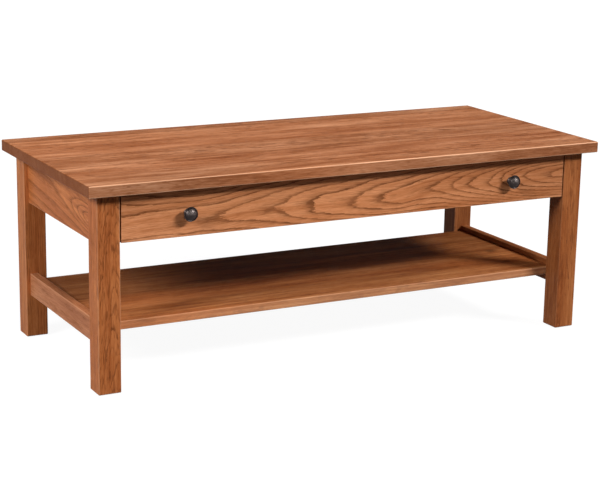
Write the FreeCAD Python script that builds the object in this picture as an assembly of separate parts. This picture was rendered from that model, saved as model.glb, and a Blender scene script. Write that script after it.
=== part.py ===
import FreeCAD, Part
import os

# An oak coffee table with one wide drawer and an open shelf, at its real size in millimetres.
# The origin is on the floor under the middle of the top. +X runs along the table to the right
# as seen from the front, -Y points out of the front, where the drawer opens, and +Z is up.

# The whole table
TABLE_LENGTH = 1270.0
TABLE_WIDTH = 558.8
TABLE_HEIGHT = 457.2

# Top
TOP_THICKNESS = 25.4
TOP_OVERHANG = 25.4
TOP_EDGE_RADIUS = 3.0

# Legs and their glides
LEG_SIDE = 50.8
LEG_EDGE_RADIUS = 2.5
FOOT_CHAMFER = 2.0
GLIDE_HEIGHT = 3.0
GLIDE_DIAMETER = 24.0
GLIDE_EDGE_RADIUS = 1.0
GLIDE_NAIL_DIAMETER = 2.5
GLIDE_NAIL_LENGTH = 14.0

# Rails between the legs
RAIL_THICKNESS = 19.0
RAIL_SETBACK = 11.0
RAIL_EDGE_RADIUS = 1.5
APRON_HEIGHT = 111.0
STRETCHER_BOTTOM = 102.0
STRETCHER_HEIGHT = 52.0
FRONT_RAIL_DEPTH = 45.0
FRONT_RAIL_GAP = 2.0
TENON_THICKNESS = 10.0
TENON_LENGTH = 24.0
TENON_SHOULDER = 10.0
FLAT_TENON_WIDTH = 20.0

# Shelf and the cleats under its ends
SHELF_TOP = 142.0
SHELF_THICKNESS = 19.0
SHELF_DEPTH = 396.0
SHELF_END_GAP = 0.5
SHELF_EDGE_RADIUS = 2.0
CLEAT_SECTION = 18.0
CLEAT_LENGTH = 230.0

# Drawer front and drawer box
FRONT_HEIGHT = 101.6
FRONT_TOP_GAP = 3.2
FRONT_END_GAP = 2.5
FRONT_EDGE_RADIUS = 1.5
BOX_WALL = 12.7
BOX_HEIGHT = 76.0
BOX_DEPTH = 420.0
BOX_LIFT = 6.0
TAIL_COUNT = 3
TAIL_NECK = 14.0
TAIL_SLOPE = 1 / 6
BOTTOM_THICKNESS = 6.0
BOTTOM_LIFT = 9.5
BOTTOM_HOUSING = 6.0
BRACE_WIDTH = 50.0

# Knobs
KNOB_SPACING = 814.0
KNOB_DIAMETER = 31.75
KNOB_PROJECTION = 25.0
KNOB_BASE_DIAMETER = 18.0
KNOB_BASE_HEIGHT = 1.5
KNOB_NECK_DIAMETER = 12.6
KNOB_NECK_HEIGHT = 7.0
KNOB_FOOT_BOW = 0.6
KNOB_NECK_BOW = 2.1
KNOB_HEAD_UNDERSIDE = 14.6
KNOB_RIM_TOP = 19.2
KNOB_GROOVE_DEPTH = 0.9
KNOB_GROOVE_RADIUS = 12.9
KNOB_RIM_INSET = 1.6
KNOB_THREAD_DEPTH = 13.0

# Ball-bearing slides, one at each end of the drawer
SLIDE_THICKNESS = 12.7
SLIDE_LENGTH = 406.0
SLIDE_SETBACK = 2.0
SLIDE_STEEL = 1.2
SLIDE_BEND = 2.0
SLIDE_CASE_HEIGHT = 45.0
SLIDE_CASE_DEPTH = 10.0
SLIDE_MIDDLE_INSET = 2.4
SLIDE_MIDDLE_DEPTH = 8.6
SLIDE_DRAWER_DEPTH = 7.9
BALL_DIAMETER = 3.1
BALL_CLEARANCE = 0.1
BALL_PITCH = 20.0
BALL_COUNT = 9
CAGE_STEEL = 0.6
CAGE_BEND = 1.2
CAGE_WEB_GAP = 0.3
CAGE_DEPTH = 7.0
CAGE_BALL_INSET = 4.0
CAGE_END = 10.0
PACKER_HEIGHT = 50.0

# Stepped clips that hold the top
CLIP_STEEL = 1.6
CLIP_WIDTH = 22.0
CLIP_REACH = 24.0
CLIP_TAB = 8.0
CLIP_STANDOFF = 0.4
CLIP_HOLE_DIAMETER = 4.4
CLIP_SCREW_AT = 14.4
CLIP_GROOVE_DROP = 11.0
CLIP_GROOVE_HEIGHT = 2.4
CLIP_GROOVE_DEPTH = 9.0

# Screws: shank diameter, head diameter and head height
WOOD_SCREW = (4.0, 8.0, 2.6)
SLIDE_SCREW = (4.0, 7.0, SLIDE_STEEL)
PAN_SCREW = (4.0, 8.0, 2.6)
PAN_HEAD_BOW = 0.5
RECESS_WIDTH = 1.2
RECESS_SPAN = 4.2
RECESS_DEPTH = 1.0
CLEAT_SCREW_LENGTH = 32.0
SHELF_SCREW_LENGTH = 30.0
PACKER_SCREW_LENGTH = 34.0
FRONT_RAIL_SCREW_LENGTH = 35.0
CLIP_SCREW_LENGTH = 16.0
FRONT_SCREW_LENGTH = 26.0
SLIDE_CASE_SCREW_LENGTH = 16.0
SLIDE_DRAWER_SCREW_LENGTH = 11.0

# Where screws and clips sit, as distances from the middle of the piece they are in
CLEAT_SCREWS_AT = (-90.0, 0.0, 90.0)
SHELF_SCREWS_AT = (-60.0, 60.0)
PACKER_SCREWS_AT = (-150.0, 20.0, 160.0)
SIDE_CLIPS_AT = (-110.0, 110.0)
BACK_CLIPS_AT = (-380.0, 0.0, 380.0)
FRONT_RAIL_SCREWS_AT = (-420.0, 0.0, 420.0)
FRONT_SCREWS_AT = (-500.0, -170.0, 170.0, 500.0)
SLIDE_CASE_SCREWS_AT = (-190.0, -35.0, 120.0)
SLIDE_DRAWER_SCREWS_AT = (-170.0, 0.0, 170.0)

# Places worked out from the sizes above
top_underside = TABLE_HEIGHT - TOP_THICKNESS
leg_outer_x = TABLE_LENGTH / 2 - TOP_OVERHANG
leg_inner_x = leg_outer_x - LEG_SIDE
leg_outer_y = TABLE_WIDTH / 2 - TOP_OVERHANG
leg_inner_y = leg_outer_y - LEG_SIDE
rail_outer_x = leg_outer_x - RAIL_SETBACK
rail_inner_x = rail_outer_x - RAIL_THICKNESS
back_apron_outer_y = leg_outer_y - RAIL_SETBACK
back_apron_inner_y = back_apron_outer_y - RAIL_THICKNESS
apron_z = (top_underside - APRON_HEIGHT, top_underside)
stretcher_z = (STRETCHER_BOTTOM, STRETCHER_BOTTOM + STRETCHER_HEIGHT)
shelf_z = (SHELF_TOP - SHELF_THICKNESS, SHELF_TOP)
cleat_z = (shelf_z[0] - CLEAT_SECTION, shelf_z[0])
cleat_inner_x = rail_inner_x - CLEAT_SECTION

front_z = (top_underside - FRONT_TOP_GAP - FRONT_HEIGHT, top_underside - FRONT_TOP_GAP)
front_face_y = -leg_outer_y
box_front_y = front_face_y + RAIL_THICKNESS
box_back_y = box_front_y + BOX_DEPTH
box_outer_x = leg_inner_x - SLIDE_THICKNESS
box_inner_x = box_outer_x - BOX_WALL
box_inside_y = (box_front_y + BOX_WALL, box_back_y - BOX_WALL)
box_z = (front_z[0] + BOX_LIFT, front_z[0] + BOX_LIFT + BOX_HEIGHT)
bottom_z = (box_z[0] + BOTTOM_LIFT, box_z[0] + BOTTOM_LIFT + BOTTOM_THICKNESS)
front_rail_y = (box_front_y + FRONT_RAIL_GAP, box_front_y + FRONT_RAIL_GAP + FRONT_RAIL_DEPTH)
front_rail_z = (top_underside - RAIL_THICKNESS, top_underside)
knob_z = sum(front_z) / 2
knob_xs = (-KNOB_SPACING / 2, KNOB_SPACING / 2)

slide_z = sum(box_z) / 2
slide_y = (box_front_y + SLIDE_SETBACK, box_front_y + SLIDE_SETBACK + SLIDE_LENGTH)
slide_mid_y = sum(slide_y) / 2
ball_gap = BALL_DIAMETER + 2 * BALL_CLEARANCE
slide_middle_height = SLIDE_CASE_HEIGHT - 2 * (SLIDE_STEEL + ball_gap)
slide_drawer_height = slide_middle_height - 2 * (SLIDE_STEEL + ball_gap)
cage_length = (BALL_COUNT - 1) * BALL_PITCH + 2 * CAGE_END
case_cage_inset = SLIDE_STEEL + CAGE_WEB_GAP
drawer_cage_inset = SLIDE_MIDDLE_INSET + SLIDE_STEEL + CAGE_WEB_GAP

ORIGIN = FreeCAD.Vector(0, 0, 0)
ALONG_X = FreeCAD.Vector(1, 0, 0)
ALONG_Y = FreeCAD.Vector(0, 1, 0)
ALONG_Z = FreeCAD.Vector(0, 0, 1)
HANDS = {"left": -1, "right": 1}
PARALLEL = 0.999
TOUCHING = 0.01


# Ways of shaping and placing

def block(x, y, z):
    """A square-edged block between two limits along each axis."""
    return Part.makeBox(x[1] - x[0], y[1] - y[0], z[1] - z[0], FreeCAD.Vector(x[0], y[0], z[0]))


def edges_along(shape, *axes):
    """The straight edges of a block that run along any of the axes."""
    chosen = []
    for edge in shape.Edges:
        run = edge.Vertexes[1].Point - edge.Vertexes[0].Point
        run.normalize()
        if any(abs(run.dot(axis)) > PARALLEL for axis in axes):
            chosen.append(edge)
    return chosen


def eased(shape, radius, *axes):
    """Round a block's edges that run along the axes."""
    return shape.makeFillet(radius, edges_along(shape, *axes))


def middle(limits, size):
    """Two limits, size apart, about the middle of other limits."""
    centre = sum(limits) / 2
    return (centre - size / 2, centre + size / 2)


def mirrored(shape):
    """The same piece for the other end of the table."""
    return shape.mirror(ORIGIN, ALONG_X)


def handed(right_piece, side):
    """A piece made for the right end, or its mirror image for the left."""
    return right_piece if HANDS[side] > 0 else mirrored(right_piece)


def both_ends(right_pieces):
    """Pieces made for the right end, and their mirror images."""
    return right_pieces + [mirrored(piece) for piece in right_pieces]


def placed(shape, point, direction):
    """Put a shape's origin at a point and turn its -Z axis to a direction."""
    turn = FreeCAD.Rotation(FreeCAD.Vector(0, 0, -1), direction)
    moved = shape.copy()
    moved.Placement = FreeCAD.Placement(point, turn)
    return moved


def turned_solid(edges):
    """Turn a closed outline in the XZ plane into a round solid about Z."""
    face = Part.Face(Part.Wire(edges))
    return face.revolve(ORIGIN, ALONG_Z, 360)


def outline_point(radius, height):
    """A point of a turned outline."""
    return FreeCAD.Vector(radius, 0, height)


def line(start, end):
    """A straight edge of an outline."""
    return Part.LineSegment(start, end).toShape()


def bowed(start, end, bow):
    """A round edge of an outline, its middle standing out by bow, or in where bow is negative."""
    run = end - start
    outward = FreeCAD.Vector(run.z, 0, -run.x)
    outward.normalize()
    return Part.Arc(start, (start + end) / 2 + outward * bow, end).toShape()


# Screws, each pointing down -Z from where its head bears on the surface

def flat_head_blank(size, length):
    """A countersunk screw, its head flush with z = 0, without its recess."""
    shank, head, head_height = size
    points = [
        outline_point(0, 0),
        outline_point(head / 2, 0),
        outline_point(shank / 2, -head_height),
        outline_point(shank / 2, shank - length),
        outline_point(0, -length),
    ]
    return turned_solid(Part.makePolygon(points + points[:1]).Edges)


def pan_head_blank(size, length):
    """A screw with a domed head standing on z = 0, without its recess."""
    shank, head, head_height = size
    rim = outline_point(head / 2, head_height / 3)
    crown = outline_point(head / 4, head_height)
    points = [
        outline_point(0, -length),
        outline_point(shank / 2, shank - length),
        outline_point(shank / 2, 0),
        outline_point(head / 2, 0),
        rim,
    ]
    edges = Part.makePolygon(points).Edges
    edges.append(bowed(rim, crown, PAN_HEAD_BOW))
    edges.append(line(crown, outline_point(0, head_height)))
    edges.append(line(outline_point(0, head_height), points[0]))
    return turned_solid(edges)


def with_recess(blank):
    """Cut a cross recess into a screw's head."""
    long = (-RECESS_SPAN / 2, RECESS_SPAN / 2)
    short = (-RECESS_WIDTH / 2, RECESS_WIDTH / 2)
    top = blank.BoundBox.ZMax
    depth = (top - RECESS_DEPTH, top)
    return blank.cut([block(long, short, depth), block(short, long, depth)])


def screw_set(blank, seats):
    """Finished screws at their seats, and the plain shapes that their holes take."""
    finished = with_recess(blank)
    screws = [placed(finished, point, direction) for point, direction in seats]
    holes = [placed(blank, point, direction) for point, direction in seats]
    return screws, holes


# Top, rails and legs

def table_top():
    """The top panel, eased all round."""
    panel = block(
        (-TABLE_LENGTH / 2, TABLE_LENGTH / 2),
        (-TABLE_WIDTH / 2, TABLE_WIDTH / 2),
        (top_underside, TABLE_HEIGHT),
    )
    return eased(panel, TOP_EDGE_RADIUS, ALONG_X, ALONG_Y, ALONG_Z)


def end_rail(z):
    """A rail between the front and back legs at the right end, with a tenon at each end."""
    x = (rail_inner_x, rail_outer_x)
    reach = leg_inner_y + TENON_LENGTH
    rail = eased(block(x, (-leg_inner_y, leg_inner_y), z), RAIL_EDGE_RADIUS, ALONG_Y)
    tenon_z = (z[0] + TENON_SHOULDER, z[1] - TENON_SHOULDER)
    tenons = block(middle(x, TENON_THICKNESS), (-reach, reach), tenon_z)
    return rail.fuse(tenons).removeSplitter()


def clip_groove_z():
    """The height of the groove that the top's clips hook into."""
    groove_top = top_underside - CLIP_GROOVE_DROP
    return (groove_top - CLIP_GROOVE_HEIGHT, groove_top)


def side_apron():
    """The right apron, with the clips' groove along its inner face."""
    groove = block(
        (rail_inner_x, rail_inner_x + CLIP_GROOVE_DEPTH), (-leg_inner_y, leg_inner_y), clip_groove_z()
    )
    return end_rail(apron_z).cut(groove)


def back_apron():
    """The apron between the back legs, with tenons and the clips' groove."""
    y = (back_apron_inner_y, back_apron_outer_y)
    reach = leg_inner_x + TENON_LENGTH
    rail = eased(block((-leg_inner_x, leg_inner_x), y, apron_z), RAIL_EDGE_RADIUS, ALONG_X)
    tenon_z = (apron_z[0] + TENON_SHOULDER, apron_z[1] - TENON_SHOULDER)
    tenons = block((-reach, reach), middle(y, TENON_THICKNESS), tenon_z)
    groove = block(
        (-leg_inner_x, leg_inner_x), (y[0], y[0] + CLIP_GROOVE_DEPTH), clip_groove_z()
    )
    return rail.fuse(tenons).removeSplitter().cut(groove)


def front_rail():
    """The flat rail behind the drawer front, tenoned into the front legs."""
    reach = leg_inner_x + TENON_LENGTH
    rail = block((-leg_inner_x, leg_inner_x), front_rail_y, front_rail_z)
    tenon_y = middle((front_rail_y[0], -leg_inner_y), FLAT_TENON_WIDTH)
    tenons = block((-reach, reach), tenon_y, middle(front_rail_z, TENON_THICKNESS))
    return rail.fuse(tenons).removeSplitter()


def right_leg(y, joined):
    """A right leg between two y limits, mortised for the rails joined to it."""
    post = block((leg_inner_x, leg_outer_x), y, (GLIDE_HEIGHT, top_underside))
    post = eased(post, LEG_EDGE_RADIUS, ALONG_Z)
    foot = [edge for edge in post.Edges if edge.BoundBox.ZMax < GLIDE_HEIGHT + TOUCHING]
    return post.makeChamfer(FOOT_CHAMFER, foot).cut(joined)


def right_glide(y):
    """A nylon glide with its nail, under the right leg at y."""
    radius = GLIDE_DIAMETER / 2
    nail = GLIDE_NAIL_DIAMETER / 2
    pad = Part.makeCylinder(radius, GLIDE_HEIGHT)
    lower_rim = [edge for edge in pad.Edges if edge.BoundBox.ZMax < TOUCHING]
    pad = pad.makeFillet(GLIDE_EDGE_RADIUS, lower_rim)
    shaft = Part.makeCylinder(nail, GLIDE_NAIL_LENGTH, FreeCAD.Vector(0, 0, GLIDE_HEIGHT))
    glide = pad.fuse(shaft).removeSplitter()
    glide.translate(FreeCAD.Vector((leg_inner_x + leg_outer_x) / 2, y, 0))
    return glide


# Shelf

def shelf():
    """The shelf panel between the stretchers."""
    reach = rail_inner_x - SHELF_END_GAP
    panel = block((-reach, reach), (-SHELF_DEPTH / 2, SHELF_DEPTH / 2), shelf_z)
    return eased(panel, SHELF_EDGE_RADIUS, ALONG_X, ALONG_Y, ALONG_Z)


def right_cleat():
    """The strip under the shelf's right end."""
    return block((cleat_inner_x, rail_inner_x), (-CLEAT_LENGTH / 2, CLEAT_LENGTH / 2), cleat_z)


# Clips that hold the top

def top_clip():
    """A stepped clip: its tab hooks to -X, its plate reaches to +X under a top at z = 0."""
    width = (-CLIP_WIDTH / 2, CLIP_WIDTH / 2)
    riser_x = (CLIP_STANDOFF, CLIP_STANDOFF + CLIP_STEEL)
    tab_z = (-CLIP_GROOVE_DROP - CLIP_STEEL, -CLIP_GROOVE_DROP)
    tab = block((-CLIP_TAB, riser_x[1]), width, tab_z)
    riser = block(riser_x, width, (tab_z[0], 0))
    plate = block((riser_x[0], CLIP_REACH), width, (-CLIP_STEEL, 0))
    hole = Part.makeCylinder(CLIP_HOLE_DIAMETER / 2, CLIP_STEEL, clip_screw_point())
    return tab.fuse([riser, plate]).removeSplitter().cut(hole)


def clip_screw_point():
    """Where a clip's screw head bears, in the clip's own place."""
    return FreeCAD.Vector(CLIP_SCREW_AT, 0, -CLIP_STEEL)


def clip_places():
    """Each clip's place: against the aprons' inner faces, reaching inwards."""
    places = []
    for at in SIDE_CLIPS_AT:
        places.append((FreeCAD.Vector(-rail_inner_x, at, top_underside), 0))
        places.append((FreeCAD.Vector(rail_inner_x, at, top_underside), 180))
    for at in BACK_CLIPS_AT:
        places.append((FreeCAD.Vector(at, back_apron_inner_y, top_underside), -90))
    return [FreeCAD.Placement(point, FreeCAD.Rotation(ALONG_Z, angle)) for point, angle in places]


def top_clips():
    """All the clips."""
    clips = []
    for place in clip_places():
        clip = top_clip()
        clip.Placement = place
        clips.append(clip)
    return clips


# Drawer

def drawer_front():
    """The wide front board that fills the opening between the front legs."""
    reach = leg_inner_x - FRONT_END_GAP
    board = block((-reach, reach), (front_face_y, box_front_y), front_z)
    return eased(board, FRONT_EDGE_RADIUS, ALONG_X, ALONG_Y, ALONG_Z)


def drawer_bottom():
    """The plywood bottom, housed in grooves all round."""
    reach = box_inner_x + BOTTOM_HOUSING
    y = (box_inside_y[0] - BOTTOM_HOUSING, box_inside_y[1] + BOTTOM_HOUSING)
    return block((-reach, reach), y, bottom_z)


def tails(outer_y, neck_y):
    """The dovetails at one end of the right side, widening from neck_y to outer_y."""
    pitch = BOX_HEIGHT / TAIL_COUNT
    neck = TAIL_NECK / 2
    wide = neck + BOX_WALL * TAIL_SLOPE
    shapes = []
    for number in range(TAIL_COUNT):
        z = box_z[0] + (number + 0.5) * pitch
        corners = [(neck_y, z - neck), (neck_y, z + neck), (outer_y, z + wide), (outer_y, z - wide)]
        points = [FreeCAD.Vector(box_inner_x, y, height) for y, height in corners]
        face = Part.Face(Part.makePolygon(points + points[:1]))
        shapes.append(face.extrude(FreeCAD.Vector(BOX_WALL, 0, 0)))
    return shapes


def side_tails():
    """The dovetails at both ends of the right side."""
    return tails(box_front_y, box_inside_y[0]) + tails(box_back_y, box_inside_y[1])


def drawer_side():
    """The right side of the drawer box, with its tails and the bottom's groove."""
    wall = block((box_inner_x, box_outer_x), box_inside_y, box_z)
    return wall.fuse(side_tails()).removeSplitter().cut(drawer_bottom())


def drawer_cross_wall(y):
    """The front or back of the drawer box, with the sockets for the sides' tails."""
    wall = block((-box_outer_x, box_outer_x), y, box_z)
    return wall.cut(both_ends(side_tails())).cut(drawer_bottom())


def drawer_brace():
    """The strip glued under the middle of the bottom."""
    return block((-BRACE_WIDTH / 2, BRACE_WIDTH / 2), box_inside_y, (box_z[0], bottom_z[0]))


def knob():
    """A turned knob standing on z = 0: base, waisted neck, rolled rim, groove and domed face."""
    base = KNOB_BASE_DIAMETER / 2
    neck = KNOB_NECK_DIAMETER / 2
    edge = KNOB_DIAMETER / 2
    groove_height = KNOB_RIM_TOP - KNOB_GROOVE_DEPTH
    rise = KNOB_PROJECTION - groove_height
    dome_chord_squared = KNOB_GROOVE_RADIUS ** 2 + rise ** 2
    dome_radius = dome_chord_squared / (2 * rise)
    dome_bow = dome_radius - (dome_radius ** 2 - dome_chord_squared / 4) ** 0.5
    base_top = outline_point(base, KNOB_BASE_HEIGHT)
    waist = outline_point(neck, KNOB_NECK_HEIGHT)
    under = outline_point(edge - KNOB_RIM_INSET, KNOB_HEAD_UNDERSIDE)
    rim_top = outline_point(edge - KNOB_RIM_INSET, KNOB_RIM_TOP)
    groove = outline_point(KNOB_GROOVE_RADIUS, groove_height)
    crown = outline_point(0, KNOB_PROJECTION)
    edges = [
        line(outline_point(0, 0), outline_point(base, 0)),
        line(outline_point(base, 0), base_top),
        bowed(base_top, waist, -KNOB_FOOT_BOW),
        bowed(waist, under, -KNOB_NECK_BOW),
        bowed(under, rim_top, KNOB_RIM_INSET),
        line(rim_top, groove),
        bowed(groove, crown, dome_bow),
        line(crown, outline_point(0, 0)),
    ]
    return turned_solid(edges)


# Slides, for the right end of the drawer

def channel(depth, height, steel, bend, length):
    """A bent steel channel along Y from y = 0, its web on x = 0, open to -X, centred on z = 0."""
    half = height / 2
    outside = eased(block((-2 * depth, 0), (0, length), (-half, half)), bend, ALONG_Y)
    hollow = block((steel - 2 * depth, -steel), (0, length), (steel - half, half - steel))
    hollow = eased(hollow, bend - steel, ALONG_Y)
    kept = block((-depth, 0), (0, length), (-half, half))
    return outside.cut(hollow).common(kept)


def slide_member(shape, inset):
    """Put a channel on the slide's centre line, its web inset from the leg's inner face."""
    shape.translate(FreeCAD.Vector(leg_inner_x - inset, slide_y[0], slide_z))
    return shape


def slide_case():
    """The member fixed to the legs and the packer."""
    return slide_member(
        channel(SLIDE_CASE_DEPTH, SLIDE_CASE_HEIGHT, SLIDE_STEEL, SLIDE_BEND, SLIDE_LENGTH), 0
    )


def slide_middle():
    """The member that runs between the other two."""
    shape = channel(SLIDE_MIDDLE_DEPTH, slide_middle_height, SLIDE_STEEL, SLIDE_BEND, SLIDE_LENGTH)
    return slide_member(shape, SLIDE_MIDDLE_INSET)


def slide_drawer():
    """The member fixed to the drawer's side, open the other way."""
    shape = channel(SLIDE_DRAWER_DEPTH, slide_drawer_height, SLIDE_STEEL, SLIDE_BEND, SLIDE_LENGTH)
    return slide_member(mirrored(shape), SLIDE_THICKNESS)


def ball_centres(outer_height, inset):
    """The balls of one cage: a row above and a row below, inside a member of outer_height."""
    x = leg_inner_x - inset - CAGE_BALL_INSET
    offset = outer_height / 2 - SLIDE_STEEL - ball_gap / 2
    first_y = slide_mid_y - (BALL_COUNT - 1) * BALL_PITCH / 2
    centres = []
    for number in range(BALL_COUNT):
        for z in (slide_z - offset, slide_z + offset):
            centres.append(FreeCAD.Vector(x, first_y + number * BALL_PITCH, z))
    return centres


def balls(outer_height, inset):
    """The balls of one cage."""
    return [Part.makeSphere(BALL_DIAMETER / 2, centre) for centre in ball_centres(outer_height, inset)]


def ball_cage(outer_height, inset):
    """The thin bent strip that keeps the balls apart."""
    height = outer_height - 2 * SLIDE_STEEL - ball_gap + CAGE_STEEL
    strip = channel(CAGE_DEPTH, height, CAGE_STEEL, CAGE_BEND, cage_length)
    strip.translate(FreeCAD.Vector(leg_inner_x - inset, slide_mid_y - cage_length / 2, slide_z))
    seat_radius = BALL_DIAMETER / 2 + BALL_CLEARANCE
    below = FreeCAD.Vector(0, 0, -CAGE_STEEL)
    seats = []
    for centre in ball_centres(outer_height, inset):
        seats.append(Part.makeCylinder(seat_radius, 2 * CAGE_STEEL, centre + below))
    return strip.cut(seats)


def right_packer():
    """The block that brings the right apron's inner face out to the legs' inner faces."""
    z = (slide_z - PACKER_HEIGHT / 2, slide_z + PACKER_HEIGHT / 2)
    return block((leg_inner_x, rail_inner_x), (-leg_inner_y, leg_inner_y), z)


# Each set of screws, with the holes that it needs

def outward_seats(x, ys, z):
    """Seats at the right end, pointing outwards."""
    return [(FreeCAD.Vector(x, y, z), ALONG_X) for y in ys]


def upward_seats(points):
    """Seats that point up."""
    return [(FreeCAD.Vector(*point), ALONG_Z) for point in points]


def forward_seats(xs, z):
    """Seats on the inside of the drawer box's front, pointing to the front."""
    return [(FreeCAD.Vector(x, box_inside_y[0], z), -ALONG_Y) for x in xs]


def both_end_screws(size, length, seats):
    """Countersunk screws at the right end and their mirror images, with their holes."""
    screws, holes = screw_set(flat_head_blank(size, length), seats)
    return both_ends(screws), both_ends(holes)


def cleat_screw_set():
    """Screws that hold the cleats to the stretchers."""
    seats = outward_seats(cleat_inner_x, CLEAT_SCREWS_AT, sum(cleat_z) / 2)
    return both_end_screws(WOOD_SCREW, CLEAT_SCREW_LENGTH, seats)


def shelf_screw_set():
    """Screws up through the cleats into the shelf."""
    x = (cleat_inner_x + rail_inner_x) / 2
    seats = upward_seats([(x, y, cleat_z[0]) for y in SHELF_SCREWS_AT])
    return both_end_screws(WOOD_SCREW, SHELF_SCREW_LENGTH, seats)


def packer_screw_set():
    """Screws that hold the packers to the side aprons."""
    seats = outward_seats(leg_inner_x, PACKER_SCREWS_AT, slide_z)
    return both_end_screws(WOOD_SCREW, PACKER_SCREW_LENGTH, seats)


def slide_case_screw_set():
    """Screws that hold the slides' fixed members to the front legs and the packers."""
    seats = outward_seats(
        leg_inner_x - SLIDE_STEEL, [slide_mid_y + y for y in SLIDE_CASE_SCREWS_AT], slide_z
    )
    return both_end_screws(SLIDE_SCREW, SLIDE_CASE_SCREW_LENGTH, seats)


def slide_drawer_screw_set():
    """Screws that hold the slides' moving members to the drawer's sides."""
    x = box_outer_x + SLIDE_STEEL
    seats = []
    for y in SLIDE_DRAWER_SCREWS_AT:
        seats.append((FreeCAD.Vector(x, slide_mid_y + y, slide_z), -ALONG_X))
    return both_end_screws(SLIDE_SCREW, SLIDE_DRAWER_SCREW_LENGTH, seats)


def front_rail_screw_set():
    """Screws up through the front rail into the top."""
    y = sum(front_rail_y) / 2
    seats = upward_seats([(x, y, front_rail_z[0]) for x in FRONT_RAIL_SCREWS_AT])
    return screw_set(flat_head_blank(WOOD_SCREW, FRONT_RAIL_SCREW_LENGTH), seats)


def clip_screw_set():
    """Screws up through the clips into the top."""
    seats = [(place.multVec(clip_screw_point()), ALONG_Z) for place in clip_places()]
    return screw_set(pan_head_blank(PAN_SCREW, CLIP_SCREW_LENGTH), seats)


def front_screw_set():
    """Screws from inside the drawer box into the drawer front."""
    return screw_set(
        pan_head_blank(PAN_SCREW, FRONT_SCREW_LENGTH), forward_seats(FRONT_SCREWS_AT, slide_z)
    )


def knob_screw_set():
    """Screws through the drawer box and the drawer front into the knobs."""
    length = BOX_WALL + RAIL_THICKNESS + KNOB_THREAD_DEPTH
    return screw_set(pan_head_blank(PAN_SCREW, length), forward_seats(knob_xs, knob_z))


# The table, group by group: each gives its nodes by name, a list being a set of like solids

def top_nodes():
    """The top and what holds it."""
    clip_screws, clip_holes = clip_screw_set()
    rail_screws, rail_holes = front_rail_screw_set()
    return {
        "table_top": table_top().cut(clip_holes + rail_holes),
        "front_rail": front_rail().cut(rail_holes),
        "apron_back": back_apron(),
        "top_clips": top_clips(),
        "top_clip_screws": clip_screws,
        "front_rail_screws": rail_screws,
    }


def end_nodes():
    """The legs with their glides, and the rails between them at each end."""
    apron = side_apron()
    stretcher = end_rail(stretcher_z)
    packer_holes = packer_screw_set()[1]
    cleat_holes = cleat_screw_set()[1]
    case_holes = slide_case_screw_set()[1]
    legs = {
        "front": ((-leg_outer_y, -leg_inner_y), front_rail()),
        "back": ((leg_inner_y, leg_outer_y), back_apron()),
    }
    nodes = {}
    for side in HANDS:
        nodes["apron_" + side] = handed(apron, side).cut(packer_holes)
        nodes["stretcher_" + side] = handed(stretcher, side).cut(cleat_holes)
        for place, (y, cross_rail) in legs.items():
            glide = right_glide(sum(y) / 2)
            leg = right_leg(y, [apron, stretcher, cross_rail, glide])
            nodes["leg_" + place + "_" + side] = handed(leg, side).cut(case_holes)
            nodes["glide_" + place + "_" + side] = handed(glide, side)
    return nodes


def shelf_nodes():
    """The shelf, its cleats and their screws."""
    cleat_screws, cleat_holes = cleat_screw_set()
    shelf_screws, shelf_holes = shelf_screw_set()
    nodes = {
        "shelf": shelf().cut(shelf_holes),
        "cleat_screws": cleat_screws,
        "shelf_screws": shelf_screws,
    }
    for side in HANDS:
        nodes["shelf_cleat_" + side] = handed(right_cleat(), side).cut(cleat_holes + shelf_holes)
    return nodes


def slide_nodes():
    """The slides, their packers and their screws."""
    packer_screws, packer_holes = packer_screw_set()
    case_screws, case_holes = slide_case_screw_set()
    drawer_screws, drawer_holes = slide_drawer_screw_set()
    races = {
        "case": (SLIDE_CASE_HEIGHT, case_cage_inset),
        "drawer": (slide_middle_height, drawer_cage_inset),
    }
    nodes = {
        "packer_screws": packer_screws,
        "slide_case_screws": case_screws,
        "slide_drawer_screws": drawer_screws,
    }
    for side in HANDS:
        nodes["slide_packer_" + side] = handed(right_packer(), side).cut(packer_holes + case_holes)
        nodes["slide_case_" + side] = handed(slide_case(), side).cut(case_holes)
        nodes["slide_middle_" + side] = handed(slide_middle(), side)
        nodes["slide_drawer_" + side] = handed(slide_drawer(), side).cut(drawer_holes)
        for race, (height, inset) in races.items():
            nodes["ball_cage_" + race + "_" + side] = handed(ball_cage(height, inset), side)
            nodes["balls_" + race + "_" + side] = [handed(ball, side) for ball in balls(height, inset)]
    return nodes


def drawer_nodes():
    """The drawer box, its front, and the knobs."""
    front_screws, front_holes = front_screw_set()
    knob_screws, knob_holes = knob_screw_set()
    side_holes = slide_drawer_screw_set()[1]
    box_front = drawer_cross_wall((box_front_y, box_inside_y[0]))
    nodes = {
        "drawer_front": drawer_front().cut(front_holes + knob_holes),
        "drawer_box_front": box_front.cut(front_holes + knob_holes),
        "drawer_back": drawer_cross_wall((box_inside_y[1], box_back_y)),
        "drawer_bottom": drawer_bottom(),
        "drawer_brace": drawer_brace(),
        "drawer_front_screws": front_screws,
        "knob_screws": knob_screws,
    }
    for side, x in zip(HANDS, knob_xs):
        turned_knob = placed(knob(), FreeCAD.Vector(x, front_face_y, knob_z), ALONG_Y)
        nodes["knob_" + side] = turned_knob.cut(knob_holes)
        nodes["drawer_side_" + side] = handed(drawer_side(), side).cut(side_holes)
    return nodes


def main():
    """Write each node to its own file."""
    os.makedirs("parts", exist_ok=True)
    for group in (top_nodes, end_nodes, shelf_nodes, slide_nodes, drawer_nodes):
        for name, piece in group().items():
            shape = Part.makeCompound(piece) if isinstance(piece, list) else piece
            shape.exportStep("parts/" + name + ".step")


main()
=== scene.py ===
import math

import bmesh
import bpy
from bpy.props import FloatProperty, FloatVectorProperty, PointerProperty
from mathutils import Matrix, Vector
from mathutils import noise as soft


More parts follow.
